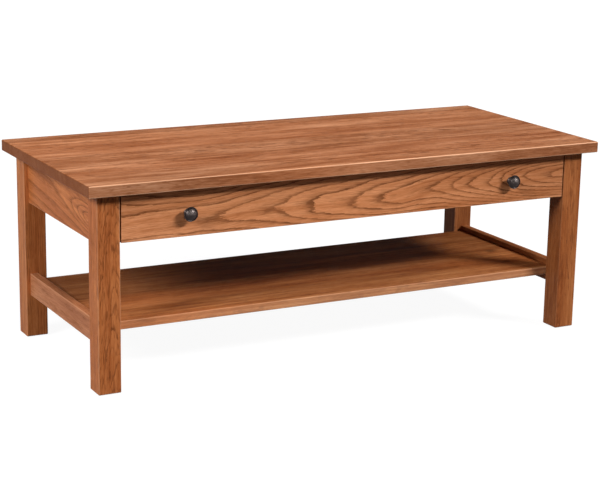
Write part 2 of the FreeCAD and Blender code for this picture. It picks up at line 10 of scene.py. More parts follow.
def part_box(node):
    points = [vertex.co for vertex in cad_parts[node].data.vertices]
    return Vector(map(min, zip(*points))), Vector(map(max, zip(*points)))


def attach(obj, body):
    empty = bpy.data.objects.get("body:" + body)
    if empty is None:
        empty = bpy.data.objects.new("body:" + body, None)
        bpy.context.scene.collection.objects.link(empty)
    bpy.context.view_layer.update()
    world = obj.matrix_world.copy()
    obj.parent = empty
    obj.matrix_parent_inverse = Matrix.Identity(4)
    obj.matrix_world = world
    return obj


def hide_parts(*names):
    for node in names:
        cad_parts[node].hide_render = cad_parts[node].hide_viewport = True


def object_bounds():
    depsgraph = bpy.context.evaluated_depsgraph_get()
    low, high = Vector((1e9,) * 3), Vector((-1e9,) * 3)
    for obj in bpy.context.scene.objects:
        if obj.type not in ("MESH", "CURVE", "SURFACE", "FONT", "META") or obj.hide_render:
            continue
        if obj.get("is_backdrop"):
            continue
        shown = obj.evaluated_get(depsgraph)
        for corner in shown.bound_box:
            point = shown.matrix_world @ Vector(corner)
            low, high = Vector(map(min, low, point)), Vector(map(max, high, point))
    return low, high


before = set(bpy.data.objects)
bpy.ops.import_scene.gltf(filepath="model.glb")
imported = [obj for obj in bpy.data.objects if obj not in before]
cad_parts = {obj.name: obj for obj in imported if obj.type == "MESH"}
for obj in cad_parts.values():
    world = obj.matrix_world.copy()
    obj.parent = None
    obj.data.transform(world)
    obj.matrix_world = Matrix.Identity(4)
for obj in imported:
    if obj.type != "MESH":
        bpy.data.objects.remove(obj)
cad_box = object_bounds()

bl_info = {
    "name": "Oak Coffee Table",
    "version": (1, 0, 0),
    "blender": (4, 5, 0),
    "location": "View3D > Sidebar > Oak Table",
    "description": "Finishes and fine pieces of an oak coffee table with one wide drawer",
    "category": "Object",
}

MM = 0.001
X, Y, Z = range(3)

# Grain axes of a piece, as rows: along the grain, across the face, out of the face.
FLAT_PANEL = ((1, 0, 0), (0, 1, 0), (0, 0, 1))
FRONT_BOARD = ((1, 0, 0), (0, 0, 1), (0, -1, 0))
SIDE_BOARD = ((0, 1, 0), (0, 0, 1), (1, 0, 0))
UPRIGHT = ((0, 0, 1), (1, 0, 0), (0, 1, 0))


def tint(name, description, colour):
    """A colour that a user may change."""
    return FloatVectorProperty(name=name, description=description, subtype="COLOR", default=colour)


def number(name, description, value, **kind):
    """A number from 0 up that a user may change."""
    return FloatProperty(name=name, description=description, default=value, min=0.0, **kind)


def share(name, description, value):
    """A factor from 0 to 1 that a user may change."""
    return number(name, description, value, max=1.0, subtype="FACTOR")


def length(name, description, value):
    """A small length that a user may change."""
    return number(name, description, value, unit="LENGTH", precision=4)


def angle(name, description, degrees):
    """An angle that a user may change."""
    return FloatProperty(name=name, description=description, default=math.radians(degrees), subtype="ANGLE")


class TableShape(bpy.types.PropertyGroup):
    """Roundings and small shapes."""

    top_edge: length("Top edge", "Rounding of the top's edges", 0.0030)
    shelf_edge: length("Shelf edge", "Rounding of the shelf's edges", 0.0020)
    leg_edge: length("Leg edge", "Rounding of the legs' edges", 0.0025)
    rail_edge: length("Rail edge", "Rounding of the aprons' and stretchers' edges", 0.0020)
    front_edge: length("Drawer front edge", "Rounding of the drawer front's edges", 0.0015)
    cut_spacing: length("Sanding step", "Spacing of the cuts at which the sanded edges vary", 0.045)
    groove_depth: length("Clip groove", "Depth of the groove for the top's clips", 0.0090)
    groove_low: length("Groove bottom", "Height of the clip groove's lower side", 0.4184)
    groove_high: length("Groove top", "Height of the clip groove's upper side", 0.4208)
    hammer_depth: length("Hammer marks", "Depth of the hammer marks on the knobs", 0.0008)
    hammer_size: length("Hammer mark size", "Width of one hammer mark", 0.0042)


class TableFinish(bpy.types.PropertyGroup):
    """Colours and gloss of the finishes."""

    oak_late: tint("Oak", "Dense wood between the ring lines", (0.546, 0.190, 0.060))
    oak_warm: tint("Warm oak", "Redder colour that the stain drifts to in patches", (0.442, 0.135, 0.039))
    oak_early: tint("Oak lines", "Open ring lines, where the stain gathers", (0.124, 0.031, 0.008))
    panel_late: tint("Panel oak", "Boards of the top and the left stretcher", (0.618, 0.244, 0.109))
    panel_warm: tint("Warm panel oak", "Redder patches of those boards", (0.520, 0.187, 0.077))
    panel_early: tint("Panel lines", "Ring lines of those boards", (0.156, 0.044, 0.013))
    front_late: tint("Drawer front oak", "Paler board of the drawer front", (0.585, 0.237, 0.104))
    front_warm: tint("Warm drawer front oak", "Redder patches of that board", (0.514, 0.195, 0.078))
    front_early: tint("Drawer front lines", "Ring lines of that board", (0.110, 0.029, 0.0065))
    box_late: tint("Box wood", "Pale wood of the drawer box", (0.640, 0.450, 0.260))
    box_warm: tint("Warm box wood", "Warmer patches of the drawer box", (0.560, 0.370, 0.200))
    box_early: tint("Box wood lines", "Ring lines of the drawer box", (0.400, 0.235, 0.110))
    plain_late: tint("Plain wood", "Unstained strips at the shelf and the slides", (0.540, 0.350, 0.190))
    plain_warm: tint("Warm plain wood", "Warmer patches of those strips", (0.450, 0.275, 0.140))
    plain_early: tint("Plain wood lines", "Ring lines of those strips", (0.280, 0.145, 0.060))
    ply_late: tint("Plywood", "Face veneer of the drawer bottom", (0.650, 0.480, 0.300))
    ply_warm: tint("Warm plywood", "Warmer patches of the veneer", (0.570, 0.395, 0.235))
    ply_early: tint("Plywood lines", "Ring lines of the veneer", (0.440, 0.280, 0.150))
    zinc: tint("Zinc", "Plated steel of slides, clips and screws", (0.620, 0.630, 0.640))
    nylon: tint("Nylon", "Brown glides under the legs", (0.120, 0.080, 0.060))
    bronze: tint("Dark bronze", "Knobs", (0.022, 0.0150, 0.0145))
    # Also the colour of the painted highlight on the knobs' upper side
    bronze_rubbed_and_highlight: tint("Rubbed bronze", "Where hands have rubbed the knobs", (0.182, 0.150, 0.138))
    # Also the colour of the painted highlight along the top's edges
    oak_rubbed: tint("Rubbed oak", "Edges that hands and sandpaper rubbed pale", (0.860, 0.490, 0.300))
    gloss: share("Gloss", "Strength of the wood's satin reflections", 0.07)


class StageLook(bpy.types.PropertyGroup):
    """Camera, lamps and floor."""

    camera_place: FloatVectorProperty(
        name="Camera", description="Where the camera stands", subtype="TRANSLATION", unit="LENGTH",
        default=(-1.8109, -3.3968, 1.1799))
    azimuth: angle("Azimuth", "Turn of the camera about the upright", -28.001)
    elevation: angle("Elevation", "How far the camera looks down", 14.348)
    roll: angle("Roll", "Lean of the camera", 1.01)
    lens: number("Lens", "Focal length on a 36 mm wide sensor", 101.20, unit="CAMERA")
    key: number("Key lamp", "Level of the lamp at the front right", 1.09)
    side: number("Side lamp", "Level of the lamp at the left", 0.91)
    rear: number("Rear lamp", "Level of the low lamp behind the table", 0.35)
    front: number("Front room", "Level of the light from the room in front", 0.062)
    back: number("Back room", "Level of the light from the room behind", 0.012)
    floor_tone: tint("Floor", "Pale floor", (0.13, 0.13, 0.13))
    floor_glow: share("Floor white", "How white the floor shows around the table", 0.94)


# Shader nodes

def add(tree, kind, values=None, **settings):
    """One shader node: its settings, then its inputs, each a value or the output that feeds it."""
    node = tree.nodes.new("ShaderNode" + kind)
    for key, value in settings.items():
        setattr(node, key, value)
    feed(tree, node, values or {})
    return node


def feed(tree, node, values):
    """Fills a node's inputs, each with a value or a link."""
    for key, value in values.items():
        if isinstance(value, bpy.types.NodeSocket):
            tree.links.new(value, node.inputs[key])
        else:
            node.inputs[key].default_value = value


def calc(tree, operation, *values):
    """The result of one Math node."""
    return add(tree, "Math", dict(enumerate(values)), operation=operation).outputs[0]


def combine(tree, operation, *values):
    """The vector result of one Vector Math node."""
    return add(tree, "VectorMath", dict(enumerate(values)), operation=operation).outputs[0]


def scaled(tree, vector, factor):
    """A vector or colour times a number."""
    return add(tree, "VectorMath", {0: vector, 3: factor}, operation="SCALE").outputs[0]


def split(tree, vector):
    """The three parts of a vector."""
    return add(tree, "SeparateXYZ", {0: vector}).outputs


def noise(tree, place, stretch, detail, output=0):
    """Soft noise at a place that is stretched first: large numbers make fine patterns."""
    stretched = combine(tree, "MULTIPLY", place, stretch)
    node = add(tree, "TexNoise", {"Vector": stretched, "Scale": 1.0, "Detail": detail})
    return node.outputs[output]


def ramp(tree, factor, stops, mode="LINEAR"):
    """The node that picks a colour from stops of (position, colour) by a factor."""
    node = add(tree, "ValToRGB", {0: factor})
    node.color_ramp.interpolation = mode
    elements = node.color_ramp.elements
    while len(elements) < len(stops):
        elements.new(0.5)
    for element, (position, colour) in zip(elements, stops):
        element.position = position
        element.color = colour
    return node


def even(value):
    """The same value along all three axes."""
    return (value, value, value)


def grey(value):
    """A grey with full cover."""
    return (*even(value), 1.0)


def mixed(tree, factor, first, second):
    """Two colours mixed by a factor."""
    return add(tree, "Mix", {0: factor, 6: first, 7: second}, data_type="RGBA").outputs[2]


def spread(tree, value, low, high, to_low=0.0, to_high=1.0):
    """A value eased from one range to another and held at its ends."""
    node = add(tree, "MapRange", {0: value, 1: low, 2: high, 3: to_low, 4: to_high},
               interpolation_type="SMOOTHSTEP")
    return node.outputs[0]


def swing(tree, pattern, amount, base):
    """A base value that a 0 to 1 pattern moves up and down."""
    return calc(tree, "MULTIPLY_ADD", calc(tree, "SUBTRACT", pattern, 0.5), amount, base)


def opaque(colour):
    """A colour with full cover."""
    return (*colour, 1.0)


def new_group(name, inputs, outputs):
    """An empty node group, its input node's outputs and its output node's inputs."""
    group = bpy.data.node_groups.new(name, "ShaderNodeTree")
    for label, kind in inputs.items():
        group.interface.new_socket(label, in_out="INPUT", socket_type="NodeSocket" + kind)
    for label, kind in outputs.items():
        group.interface.new_socket(label, in_out="OUTPUT", socket_type="NodeSocket" + kind)
    entry = group.nodes.new("NodeGroupInput")
    leave = group.nodes.new("NodeGroupOutput")
    return group, entry.outputs, leave.inputs


# Wood

# The wood's patterns: how often each repeats in a metre along, across and through the grain, and its detail
SWAY = ((1.3, 4.5, 4.5), 1.5)
RIPPLES = ((9.0, 42.0, 42.0), 4.5)
FIBRES = ((20.0, 420.0, 420.0), 2.0)
SPLIT_FIBRES = ((70.0, 900.0, 900.0), 2.0)
GAPS = ((22.0, 80.0, 80.0), 2.0)
ZONES = ((0.9, 16.0, 16.0), 1.5)
STREAKS = ((2.6, 95.0, 95.0), 3.0)
BANDS = ((4.2, 27.0, 27.0), 4.0)
PATCHES = ((1.1, 4.2, 4.2), 2.0)
PORES = ((45.0, 1100.0, 1100.0), 1.5)
FLECK_DETAIL = 2.0
SEED_STEP = (3.71, 1.37, 2.23)
RING_WANDER = 0.31

# How dark a ring line is from its start to its end: (part of its width, darkness)
LINE_SHAPE = ((0.0, 1.0), (0.14, 0.95), (0.22, 0.50), (0.42, 0.11), (0.80, 0.0))

# How far fibres fray the ring lines and shade the wood, and how far pores and end grain take up stain
FIBRE_FRAY, SPLIT_FRAY = 0.30, 0.22
FIBRE_SHADE, SPLIT_SHADE = 0.45, 0.35
PORE_STAIN, END_STAIN = 0.60, 0.85

# Roughness of the satin finish, and what streaks, pores and end grain add to it
SATIN, STREAK_ROUGH, PORE_ROUGH, END_ROUGH = 0.40, 0.16, 0.22, 0.12

# Relief in metres, and the shares of pores, fibres and ring lines in it
WOOD_RELIEF = 0.0003
PORE_RELIEF, FIBRE_RELIEF, LINE_RELIEF = -0.70, 0.25, -0.25

# Rubbing, and the painted highlight on the top's edges, fade from an edge between these distances,
# and a face turns to an axis between these cosines.
WEAR_AND_GLINT_FADE = (0.0008, 0.0028)
TURNED = (0.60, 0.95)


def sawn_timber():
    """Growth rings cut by a piece's faces: ring lines, pores, fibre, stain patches and end grain."""
    name = "Sawn timber"
    if name in bpy.data.node_groups:
        return bpy.data.node_groups[name]
    tree, given, result = new_group(
        name,
        {"Place": "Vector", "Seed": "Float", "Ring": "Float", "Taper": "Float", "Rise": "Float",
         "Drift": "Float", "Ripple": "Float", "Fan": "Float", "Lean": "Float", "Uneven": "Float",
         "Width": "Float", "Broken": "Float", "Contrast": "Float", "Pores": "Float", "Streaks": "Float",
         "Bands": "Float", "Flecks": "Float", "Fleck size": "Vector", "Tone": "Float", "End": "Float",
         "Wear": "Float",
         "Late": "Color", "Warm": "Color", "Early": "Color", "Rubbed": "Color"},
        {"Colour": "Color", "Roughness": "Float", "Height": "Float"})
    seed = scaled(tree, SEED_STEP, given["Seed"])
    place = combine(tree, "ADD", given["Place"], seed)

    sway = combine(tree, "SUBTRACT", noise(tree, place, *SWAY, 1), even(0.5))
    sway = split(tree, scaled(tree, sway, given["Drift"]))
    axes = split(tree, given["Place"])
    across = calc(tree, "ADD", axes[1], sway[1])
    above = calc(tree, "MULTIPLY", calc(tree, "MAXIMUM", across, 0.0), given["Fan"])
    below = calc(tree, "MULTIPLY", calc(tree, "MINIMUM", across, 0.0), given["Lean"])
    across = calc(tree, "ADD", calc(tree, "ADD", across, above), below)
    depth = calc(tree, "MULTIPLY_ADD", axes[0], given["Taper"], axes[2])
    depth = calc(tree, "ADD", calc(tree, "ADD", depth, sway[2]), given["Rise"])
    radius = calc(tree, "SQRT", calc(
        tree, "ADD", calc(tree, "MULTIPLY", across, across), calc(tree, "MULTIPLY", depth, depth)))
    radius = swing(tree, noise(tree, place, *RIPPLES), given["Ripple"], radius)
    count = calc(tree, "DIVIDE", radius, given["Ring"])
    uneven = add(tree, "TexNoise", {
        "W": calc(tree, "MULTIPLY_ADD", count, RING_WANDER, given["Seed"]), "Scale": 1.0, "Detail": 1.0},
        noise_dimensions="1D").outputs[0]
    count = swing(tree, uneven, given["Uneven"], count)

    fibre = noise(tree, place, *FIBRES)
    split_fibre = noise(tree, place, *SPLIT_FIBRES)
    frayed = swing(tree, split_fibre, SPLIT_FRAY, swing(tree, fibre, FIBRE_FRAY, count))
    phase = calc(tree, "FRACT", frayed)
    year = add(tree, "TexWhiteNoise", {
        "W": calc(tree, "ADD", calc(tree, "FLOOR", frayed), given["Seed"])},
        noise_dimensions="1D").outputs[0]
    stops = [(part, grey(dark)) for part, dark in LINE_SHAPE]
    line = ramp(tree, calc(tree, "DIVIDE", phase, given["Width"]), stops).outputs[0]
    line = calc(tree, "MULTIPLY", line, calc(tree, "MULTIPLY_ADD", year, 0.30, 0.70))
    gap = spread(tree, noise(tree, place, *GAPS), 0.42, 0.56, 1.0, 0.0)
    line = calc(tree, "MULTIPLY", line, calc(
        tree, "SUBTRACT", 1.0, calc(tree, "MULTIPLY", gap, given["Broken"])))
    zone = spread(tree, noise(tree, place, *ZONES), 0.40, 0.60, 0.35, 1.0)
    streak = noise(tree, place, *STREAKS)
    band = noise(tree, place, *BANDS)
    fleck = spread(tree, noise(tree, place, given["Fleck size"], FLECK_DETAIL), 0.54, 0.68)
    fleck = calc(tree, "MULTIPLY", fleck, zone)
    patch = noise(tree, place, *PATCHES)
    pore = spread(tree, noise(tree, place, *PORES), 0.52, 0.66)
    pore = calc(tree, "MULTIPLY", pore, calc(tree, "MULTIPLY_ADD", line, 0.6, 0.4))
    pore = calc(tree, "MULTIPLY", pore, given["Pores"])

    colour = mixed(tree, spread(tree, patch, 0.36, 0.66), given["Late"], given["Warm"])
    streaks = calc(tree, "MULTIPLY", zone, given["Streaks"])
    shade = swing(tree, band, given["Bands"], swing(tree, streak, streaks, given["Tone"]))
    shade = swing(tree, split_fibre, SPLIT_SHADE, swing(tree, fibre, FIBRE_SHADE, shade))

    # Where the stain is deeper, it takes most of the blue, less of the green and least of the red.
    deep = calc(tree, "MAXIMUM", calc(tree, "DIVIDE", shade, given["Tone"]), 0.0)
    green = calc(tree, "MULTIPLY", shade, calc(tree, "SQRT", deep))
    blue = calc(tree, "MULTIPLY", shade, deep)
    stain = add(tree, "CombineXYZ", {0: shade, 1: green, 2: blue}).outputs[0]
    colour = combine(tree, "MULTIPLY", colour, stain)
    colour = mixed(tree, calc(tree, "MULTIPLY", line, given["Contrast"]), colour, given["Early"])
    colour = mixed(tree, calc(tree, "MULTIPLY", fleck, given["Flecks"]), colour, given["Early"])
    colour = mixed(tree, calc(tree, "MULTIPLY", pore, PORE_STAIN), colour, given["Early"])
    colour = mixed(tree, calc(tree, "MULTIPLY", given["End"], END_STAIN), colour, given["Early"])
    # Edges rubbed pale, which on the top's long edges is also a painted highlight
    wear_and_highlight = calc(tree, "MULTIPLY", given["Wear"], spread(tree, streak, 0.35, 0.65, 0.60, 1.0))
    colour = mixed(tree, wear_and_highlight, colour, given["Rubbed"])

    rough = calc(tree, "MULTIPLY_ADD", streak, STREAK_ROUGH, SATIN)
    rough = calc(tree, "MULTIPLY_ADD", pore, PORE_ROUGH, rough)
    rough = calc(tree, "MULTIPLY_ADD", given["End"], END_ROUGH, rough)
    height = calc(tree, "MULTIPLY_ADD", pore, PORE_RELIEF, calc(tree, "MULTIPLY", fibre, FIBRE_RELIEF))
    height = calc(tree, "MULTIPLY_ADD", line, LINE_RELIEF, height)
    tree.links.new(colour, result["Colour"])
    tree.links.new(rough, result["Roughness"])
    tree.links.new(height, result["Height"])
    return tree


def edge_wear_and_glint(tree, place, low, high, rub, long_edges):
    """How far a boxy piece's edges are paled, by rubbing and on the top by a painted highlight: all of it on
    an edge, nothing some millimetres off.
    """
    centre = (low + high) / 2
    half = (high - low) / 2
    off = combine(tree, "ABSOLUTE", combine(tree, "SUBTRACT", place, centre))
    gap = split(tree, combine(tree, "SUBTRACT", half, off))
    second = calc(tree, "MAXIMUM", gap[1], gap[2])
    if not long_edges:
        least = calc(tree, "MINIMUM", gap[1], gap[2])
        second = calc(tree, "MAXIMUM", least, calc(tree, "MINIMUM", second, gap[0]))
    return spread(tree, second, *WEAR_AND_GLINT_FADE, rub, 0.0)


def facing(tree, normal, axis):
    """1 where a surface faces along an axis, 0 where it doesn't."""
    dot = add(tree, "VectorMath", {0: normal, 1: axis}, operation="DOT_PRODUCT").outputs[1]
    return spread(tree, calc(tree, "ABSOLUTE", dot), *TURNED)


def glued_boards(tree, place, width, boards):
    """Splits a panel across its grain into boards, each from its own part of a log: (new place, tone).

    A board is (where it starts across the panel, shift along, pith across, pith depth, tone)."""
    across = split(tree, place)[1]
    part = add(tree, "MapRange", {0: across, 1: -width / 2, 2: width / 2}).outputs[0]
    node = ramp(tree, part, [(start, cut) for start, *cut in boards], "CONSTANT")
    return combine(tree, "ADD", node.outputs[0], place), node.outputs[1]


def surface(tree, colour, roughness, height, relief, constants):
    """The shader and output of a material: patterns are linked, even values set on the shader."""
    shader = add(tree, "BsdfPrincipled", {"Base Color": colour, "Roughness": roughness})
    feed(tree, shader, constants)
    bump = add(tree, "Bump", {"Height": height, "Strength": 1.0, "Distance": relief})
    tree.links.new(bump.outputs[0], shader.inputs["Normal"])
    add(tree, "OutputMaterial", {0: shader.outputs[0]})


def empty_material(name):
    """A material with an empty node tree."""
    material = bpy.data.materials.new(name)
    material.use_nodes = True
    material.node_tree.nodes.clear()
    return material, material.node_tree


PALE_WOODS = ("box", "plain", "ply")


def timber(name, box, axes, seed, wood="oak", pith=(0.0, 0.0, -0.2), ring=0.005, taper=0.03, drift=0.02,
           ripple=0.003, uneven=1.4, width=1.0, broken=0.4, contrast=0.9, pores=1.0, streaks=1.0, bands=0.5,
           flecks=0.1, fleck_size=(34.0, 100.0, 100.0), tone=1.0, edge_tone=1.0, edge_pale=0.0, rub=0.3,
           long_edges=False, boards=None, rise=None, fan=None, lean=None, wander=None, plain=None,
           stain_and_painted_shading=None):
    """The finish of one wooden piece that fills a box, cut from its own place in a log.

    The last six arguments are functions of the place along and across the face: how the cut nears the
    pith, how the rings are drawn together above and below it, how the pith wanders across the face, how far
    the ring lines fade, and how far the wood darkens or pales, by stain, painted shade and painted light.
    edge_tone says how far the faces at the sides of the grain darken or pale, by a deeper stain and on the
    right front leg by painted shade; edge_pale says how far they are rubbed pale."""
    finish = bpy.context.scene.table_finish
    low, high = box
    material, tree = empty_material(name)
    coords = add(tree, "TexCoord").outputs
    turn = Matrix(axes)
    centre = turn @ ((low + high) / 2)
    place = add(tree, "Mapping", {
        "Vector": coords["Object"], "Rotation": turn.to_euler(), "Location": -centre}).outputs[0]
    along, across = split(tree, place)[:2]
    lift, upper, lower, shift, fade, dark = (
        value(tree, along, across) if value else 0.0 for value in (rise, fan, lean, wander, plain, stain_and_painted_shading))
    if wander:
        place = combine(tree, "SUBTRACT", place, add(tree, "CombineXYZ", {1: shift}).outputs[0])
    if boards:
        place, tone = glued_boards(tree, place, abs((turn @ (high - low)).y), boards)
    else:
        place = combine(tree, "SUBTRACT", place, pith)
    end = facing(tree, coords["Normal"], axes[0])
    side = facing(tree, coords["Normal"], axes[1])
    edge = calc(tree, "MULTIPLY_ADD", side, edge_tone - 1.0, 1.0)
    tone = calc(tree, "MULTIPLY", tone, edge)
    streaks = calc(tree, "MULTIPLY", streaks, edge)
    bands = calc(tree, "MULTIPLY", bands, edge)
    tone = calc(tree, "MULTIPLY", tone, calc(tree, "SUBTRACT", 1.0, dark))
    contrast = calc(tree, "MULTIPLY", contrast, calc(tree, "SUBTRACT", 1.0, fade))
    wear_and_glint = edge_wear_and_glint(tree, coords["Object"], low, high, rub, long_edges)
    cut = tree.nodes.new("ShaderNodeGroup")
    cut.node_tree = sawn_timber()
    feed(tree, cut, {
        "Place": place, "Seed": seed, "Ring": ring, "Taper": taper, "Rise": lift, "Drift": drift,
        "Ripple": ripple, "Fan": upper, "Lean": lower, "Uneven": uneven, "Width": width, "Broken": broken,
        "Contrast": contrast, "Pores": pores, "Streaks": streaks, "Bands": bands, "Flecks": flecks,
        "Fleck size": fleck_size, "Tone": tone, "End": end,
        "Wear": calc(tree, "MULTIPLY_ADD", side, edge_pale, wear_and_glint),
        "Late": opaque(getattr(finish, wood + "_late")),
        "Warm": opaque(getattr(finish, wood + "_warm")),
        "Early": opaque(getattr(finish, wood + "_early")),
        "Rubbed": opaque(getattr(finish, wood + "_late") if wood in PALE_WOODS else finish.oak_rubbed)})
    surface(tree, cut.outputs["Colour"], cut.outputs["Roughness"], cut.outputs["Height"], WOOD_RELIEF,
            {"Specular IOR Level": finish.gloss})
    return material


# The drawer front's board: half its length, its rings' width, the rings from the pith to the face at the
# left end, the pith's place and depth below the face, and along the front the tips of the arches, how far
# their upper and lower legs are drawn together, the pith's wandering above the lower edge, and the stain
# and painted shade that darken the front towards its ends, most at the right end
FRONT_HALF = 0.5563
FRONT_RING = 0.0047
FRONT_RINGS = 50
FRONT_PITH = (0.0, 0.0, -0.22)
FRONT_DEPTH = 0.2295
ARCH_TIPS = (-0.336, -0.198, -0.113, -0.010, 0.064, 0.210, 0.257, 0.302, 0.353, 0.388, 0.420, 0.463)
FIRST_ARCH = 0.5
UPPER_LEGS = ((-FRONT_HALF, 0.0), (-0.45, 0.25), (-0.336, 0.50), (-0.24, 0.45), (-0.05, 0.35),
              (0.064, 0.40), (0.21, 0.90), (0.35, 1.30), (FRONT_HALF, 1.40))
LOWER_LEGS = ((-FRONT_HALF, 0.0), (-0.336, 0.15), (-0.1, 0.30), (0.064, 0.50), (0.21, 0.80), (0.35, 1.0),
              (FRONT_HALF, 1.1))
PITH_LINE = ((-FRONT_HALF, -0.030), (-0.336, -0.018), (-0.2, -0.009), (-0.05, -0.010), (0.064, -0.012),
             (0.21, 0.006), (FRONT_HALF, 0.009))
FRONT_BOTTOM = 0.0508
FRONT_STAIN_AND_SHADE = ((-FRONT_HALF, 0.09), (-0.25, 0.05), (0.0, 0.0), (0.2, 0.05), (FRONT_HALF, 0.18))


def smooth_curve(tree, along, points):
    """A value that runs smoothly through points of (place along, value)."""
    first, last = points[0][0], points[-1][0]
    values = [value for place, value in points]
    least, most = min(values), max(values)
    part = add(tree, "MapRange", {0: along, 1: first, 2: last}).outputs[0]
    node = add(tree, "FloatCurve", {"Factor": 1.0, "Value": part})
    curve = node.mapping.curves[0]
    places = [((place - first) / (last - first), (value - least) / (most - least))
              for place, value in points]
    curve.points[0].location = places[0]
    curve.points[1].location = places[-1]
    for place in places[1:-1]:
        curve.points.new(*place)
    for point in curve.points:
        point.handle_type = "AUTO_CLAMPED"
    node.mapping.update()
    return calc(tree, "MULTIPLY_ADD", node.outputs[0], most - least, least)


def arch_spacing(tree, along, across):
    """How the drawer front's saw cut comes one ring nearer to the pith from arch to arch."""
    steps = [(tip, step) for step, tip in enumerate(ARCH_TIPS, 1)]
    passed = smooth_curve(tree, along, [(-FRONT_HALF, FIRST_ARCH), *steps, (FRONT_HALF, len(steps) + 1)])
    return calc(tree, "MULTIPLY_ADD", passed, -FRONT_RING, FRONT_RINGS * FRONT_RING - FRONT_DEPTH)


def curve_along(points):
    """A function of the place along and across that runs through points of (place along, value)."""
    def value(tree, along, across):
        return smooth_curve(tree, along, points)
    return value


def lower_legs(tree, along, across):
    """How far the lower legs of the drawer front's arches are drawn together, the same at the front's lower
    edge wherever the pith wanders."""
    squeeze = calc(tree, "MULTIPLY_ADD", smooth_curve(tree, along, LOWER_LEGS), FRONT_BOTTOM, FRONT_BOTTOM)
    room = calc(tree, "ADD", smooth_curve(tree, along, PITH_LINE), FRONT_BOTTOM)
    return calc(tree, "SUBTRACT", calc(tree, "DIVIDE", squeeze, room), 1.0)


# The nest of small arches at the left apron's front end: its middle, its reach along and across, its rings
# and their width, how much higher the lines stay clear around it, and how far they fade elsewhere
NEST_ALONG, NEST_ACROSS = -0.203, 0.012
NEST_LENGTH, NEST_HEIGHT = 0.110, 0.024
NEST_RINGS = 4.0
APRON_RING = 0.008
NEST_CLEAR = 2.2
PLAIN_SHARE = 0.5

# Spots, each (middle, reach, how far the wood darkens there): on the top a deeper stain near the front left
# corner, and paler wood with a painted highlight along the front edge; on the shelf a small dark spot near
# the right end, and painted light where the legs' shadows fall, at the front left corner and around that
# spot
TOP_SPOTS = (
    ((-0.420, -0.240), (0.220, 0.075), 0.22),
    ((-0.160, -0.285), (0.200, 0.012), -0.40),
)
SHELF_SPOTS = (
    ((0.525, -0.015), (0.016, 0.012), 0.8),
    ((-0.470, -0.195), (0.200, 0.035), -0.75),
    ((0.470, -0.080), (0.130, 0.080), -0.5),
)


def spot(tree, along, across, middle, reach):
    """1 in the middle of an oval spot, falling softly to 0 around it."""
    long = calc(tree, "DIVIDE", calc(tree, "SUBTRACT", along, middle[0]), reach[0])
    high = calc(tree, "DIVIDE", calc(tree, "SUBTRACT", across, middle[1]), reach[1])
    off = calc(tree, "MULTIPLY_ADD", long, long, calc(tree, "MULTIPLY", high, high))
    return calc(tree, "EXPONENT", calc(tree, "MULTIPLY", off, -1.0))


def front_end_arches(tree, along, across):
    """A hollow in the left apron's rings, which the saw cuts to a nest of small arches."""
    fall = spot(tree, along, across, (NEST_ALONG, NEST_ACROSS), (NEST_LENGTH, NEST_HEIGHT))
    return calc(tree, "MULTIPLY", fall, -NEST_RINGS * APRON_RING)


def plain_middle(tree, along, across):
    """How the left apron's lines fade away from that nest."""
    reach = (NEST_LENGTH, NEST_HEIGHT * NEST_CLEAR)
    fall = spot(tree, along, across, (NEST_ALONG, NEST_ACROSS), reach)
    return calc(tree, "MULTIPLY_ADD", fall, -PLAIN_SHARE, PLAIN_SHARE)


def spots(places):
    """A function of the place along and across: how far the wood darkens at spots."""
    def darkening(tree, along, across):
        dark = 0.0
        for middle, reach, depth in places:
            dark = calc(tree, "MULTIPLY_ADD", spot(tree, along, across, middle, reach), depth, dark)
        return dark
    return darkening


# Boards of the glued panels: (start across, shift along, pith across, pith depth, tone)
TOP_BOARDS = (
    (0.00, 0.3, 0.20, 0.20, 0.86),
    (0.17, 0.9, 0.13, 0.13, 0.86),
    (0.33, 0.1, 0.02, 0.24, 0.79),
    (0.56, 0.6, 0.16, 0.10, 0.92),
    (0.74, 0.4, 0.05, 0.30, 0.94),
    (0.90, 0.7, 0.24, 0.16, 0.77),
)
# The shelf's tones are low and lowest at the back: painted shade under the top
SHELF_BOARDS = (
    (0.00, 0.5, 0.10, 0.16, 0.62),
    (0.24, 0.2, 0.30, 0.12, 0.68),
    (0.46, 0.8, 0.05, 0.26, 0.58),
    (0.72, 0.0, 0.22, 0.18, 0.50),
)

# The left apron's grain rises a little towards the back.
RISING_BOARD = ((0.0, 0.9925, 0.1222), (0.0, -0.1222, 0.9925), (1.0, 0.0, 0.0))

# Short narrow flecks of the front legs
LEG_FLECKS = (45.0, 340.0, 340.0)

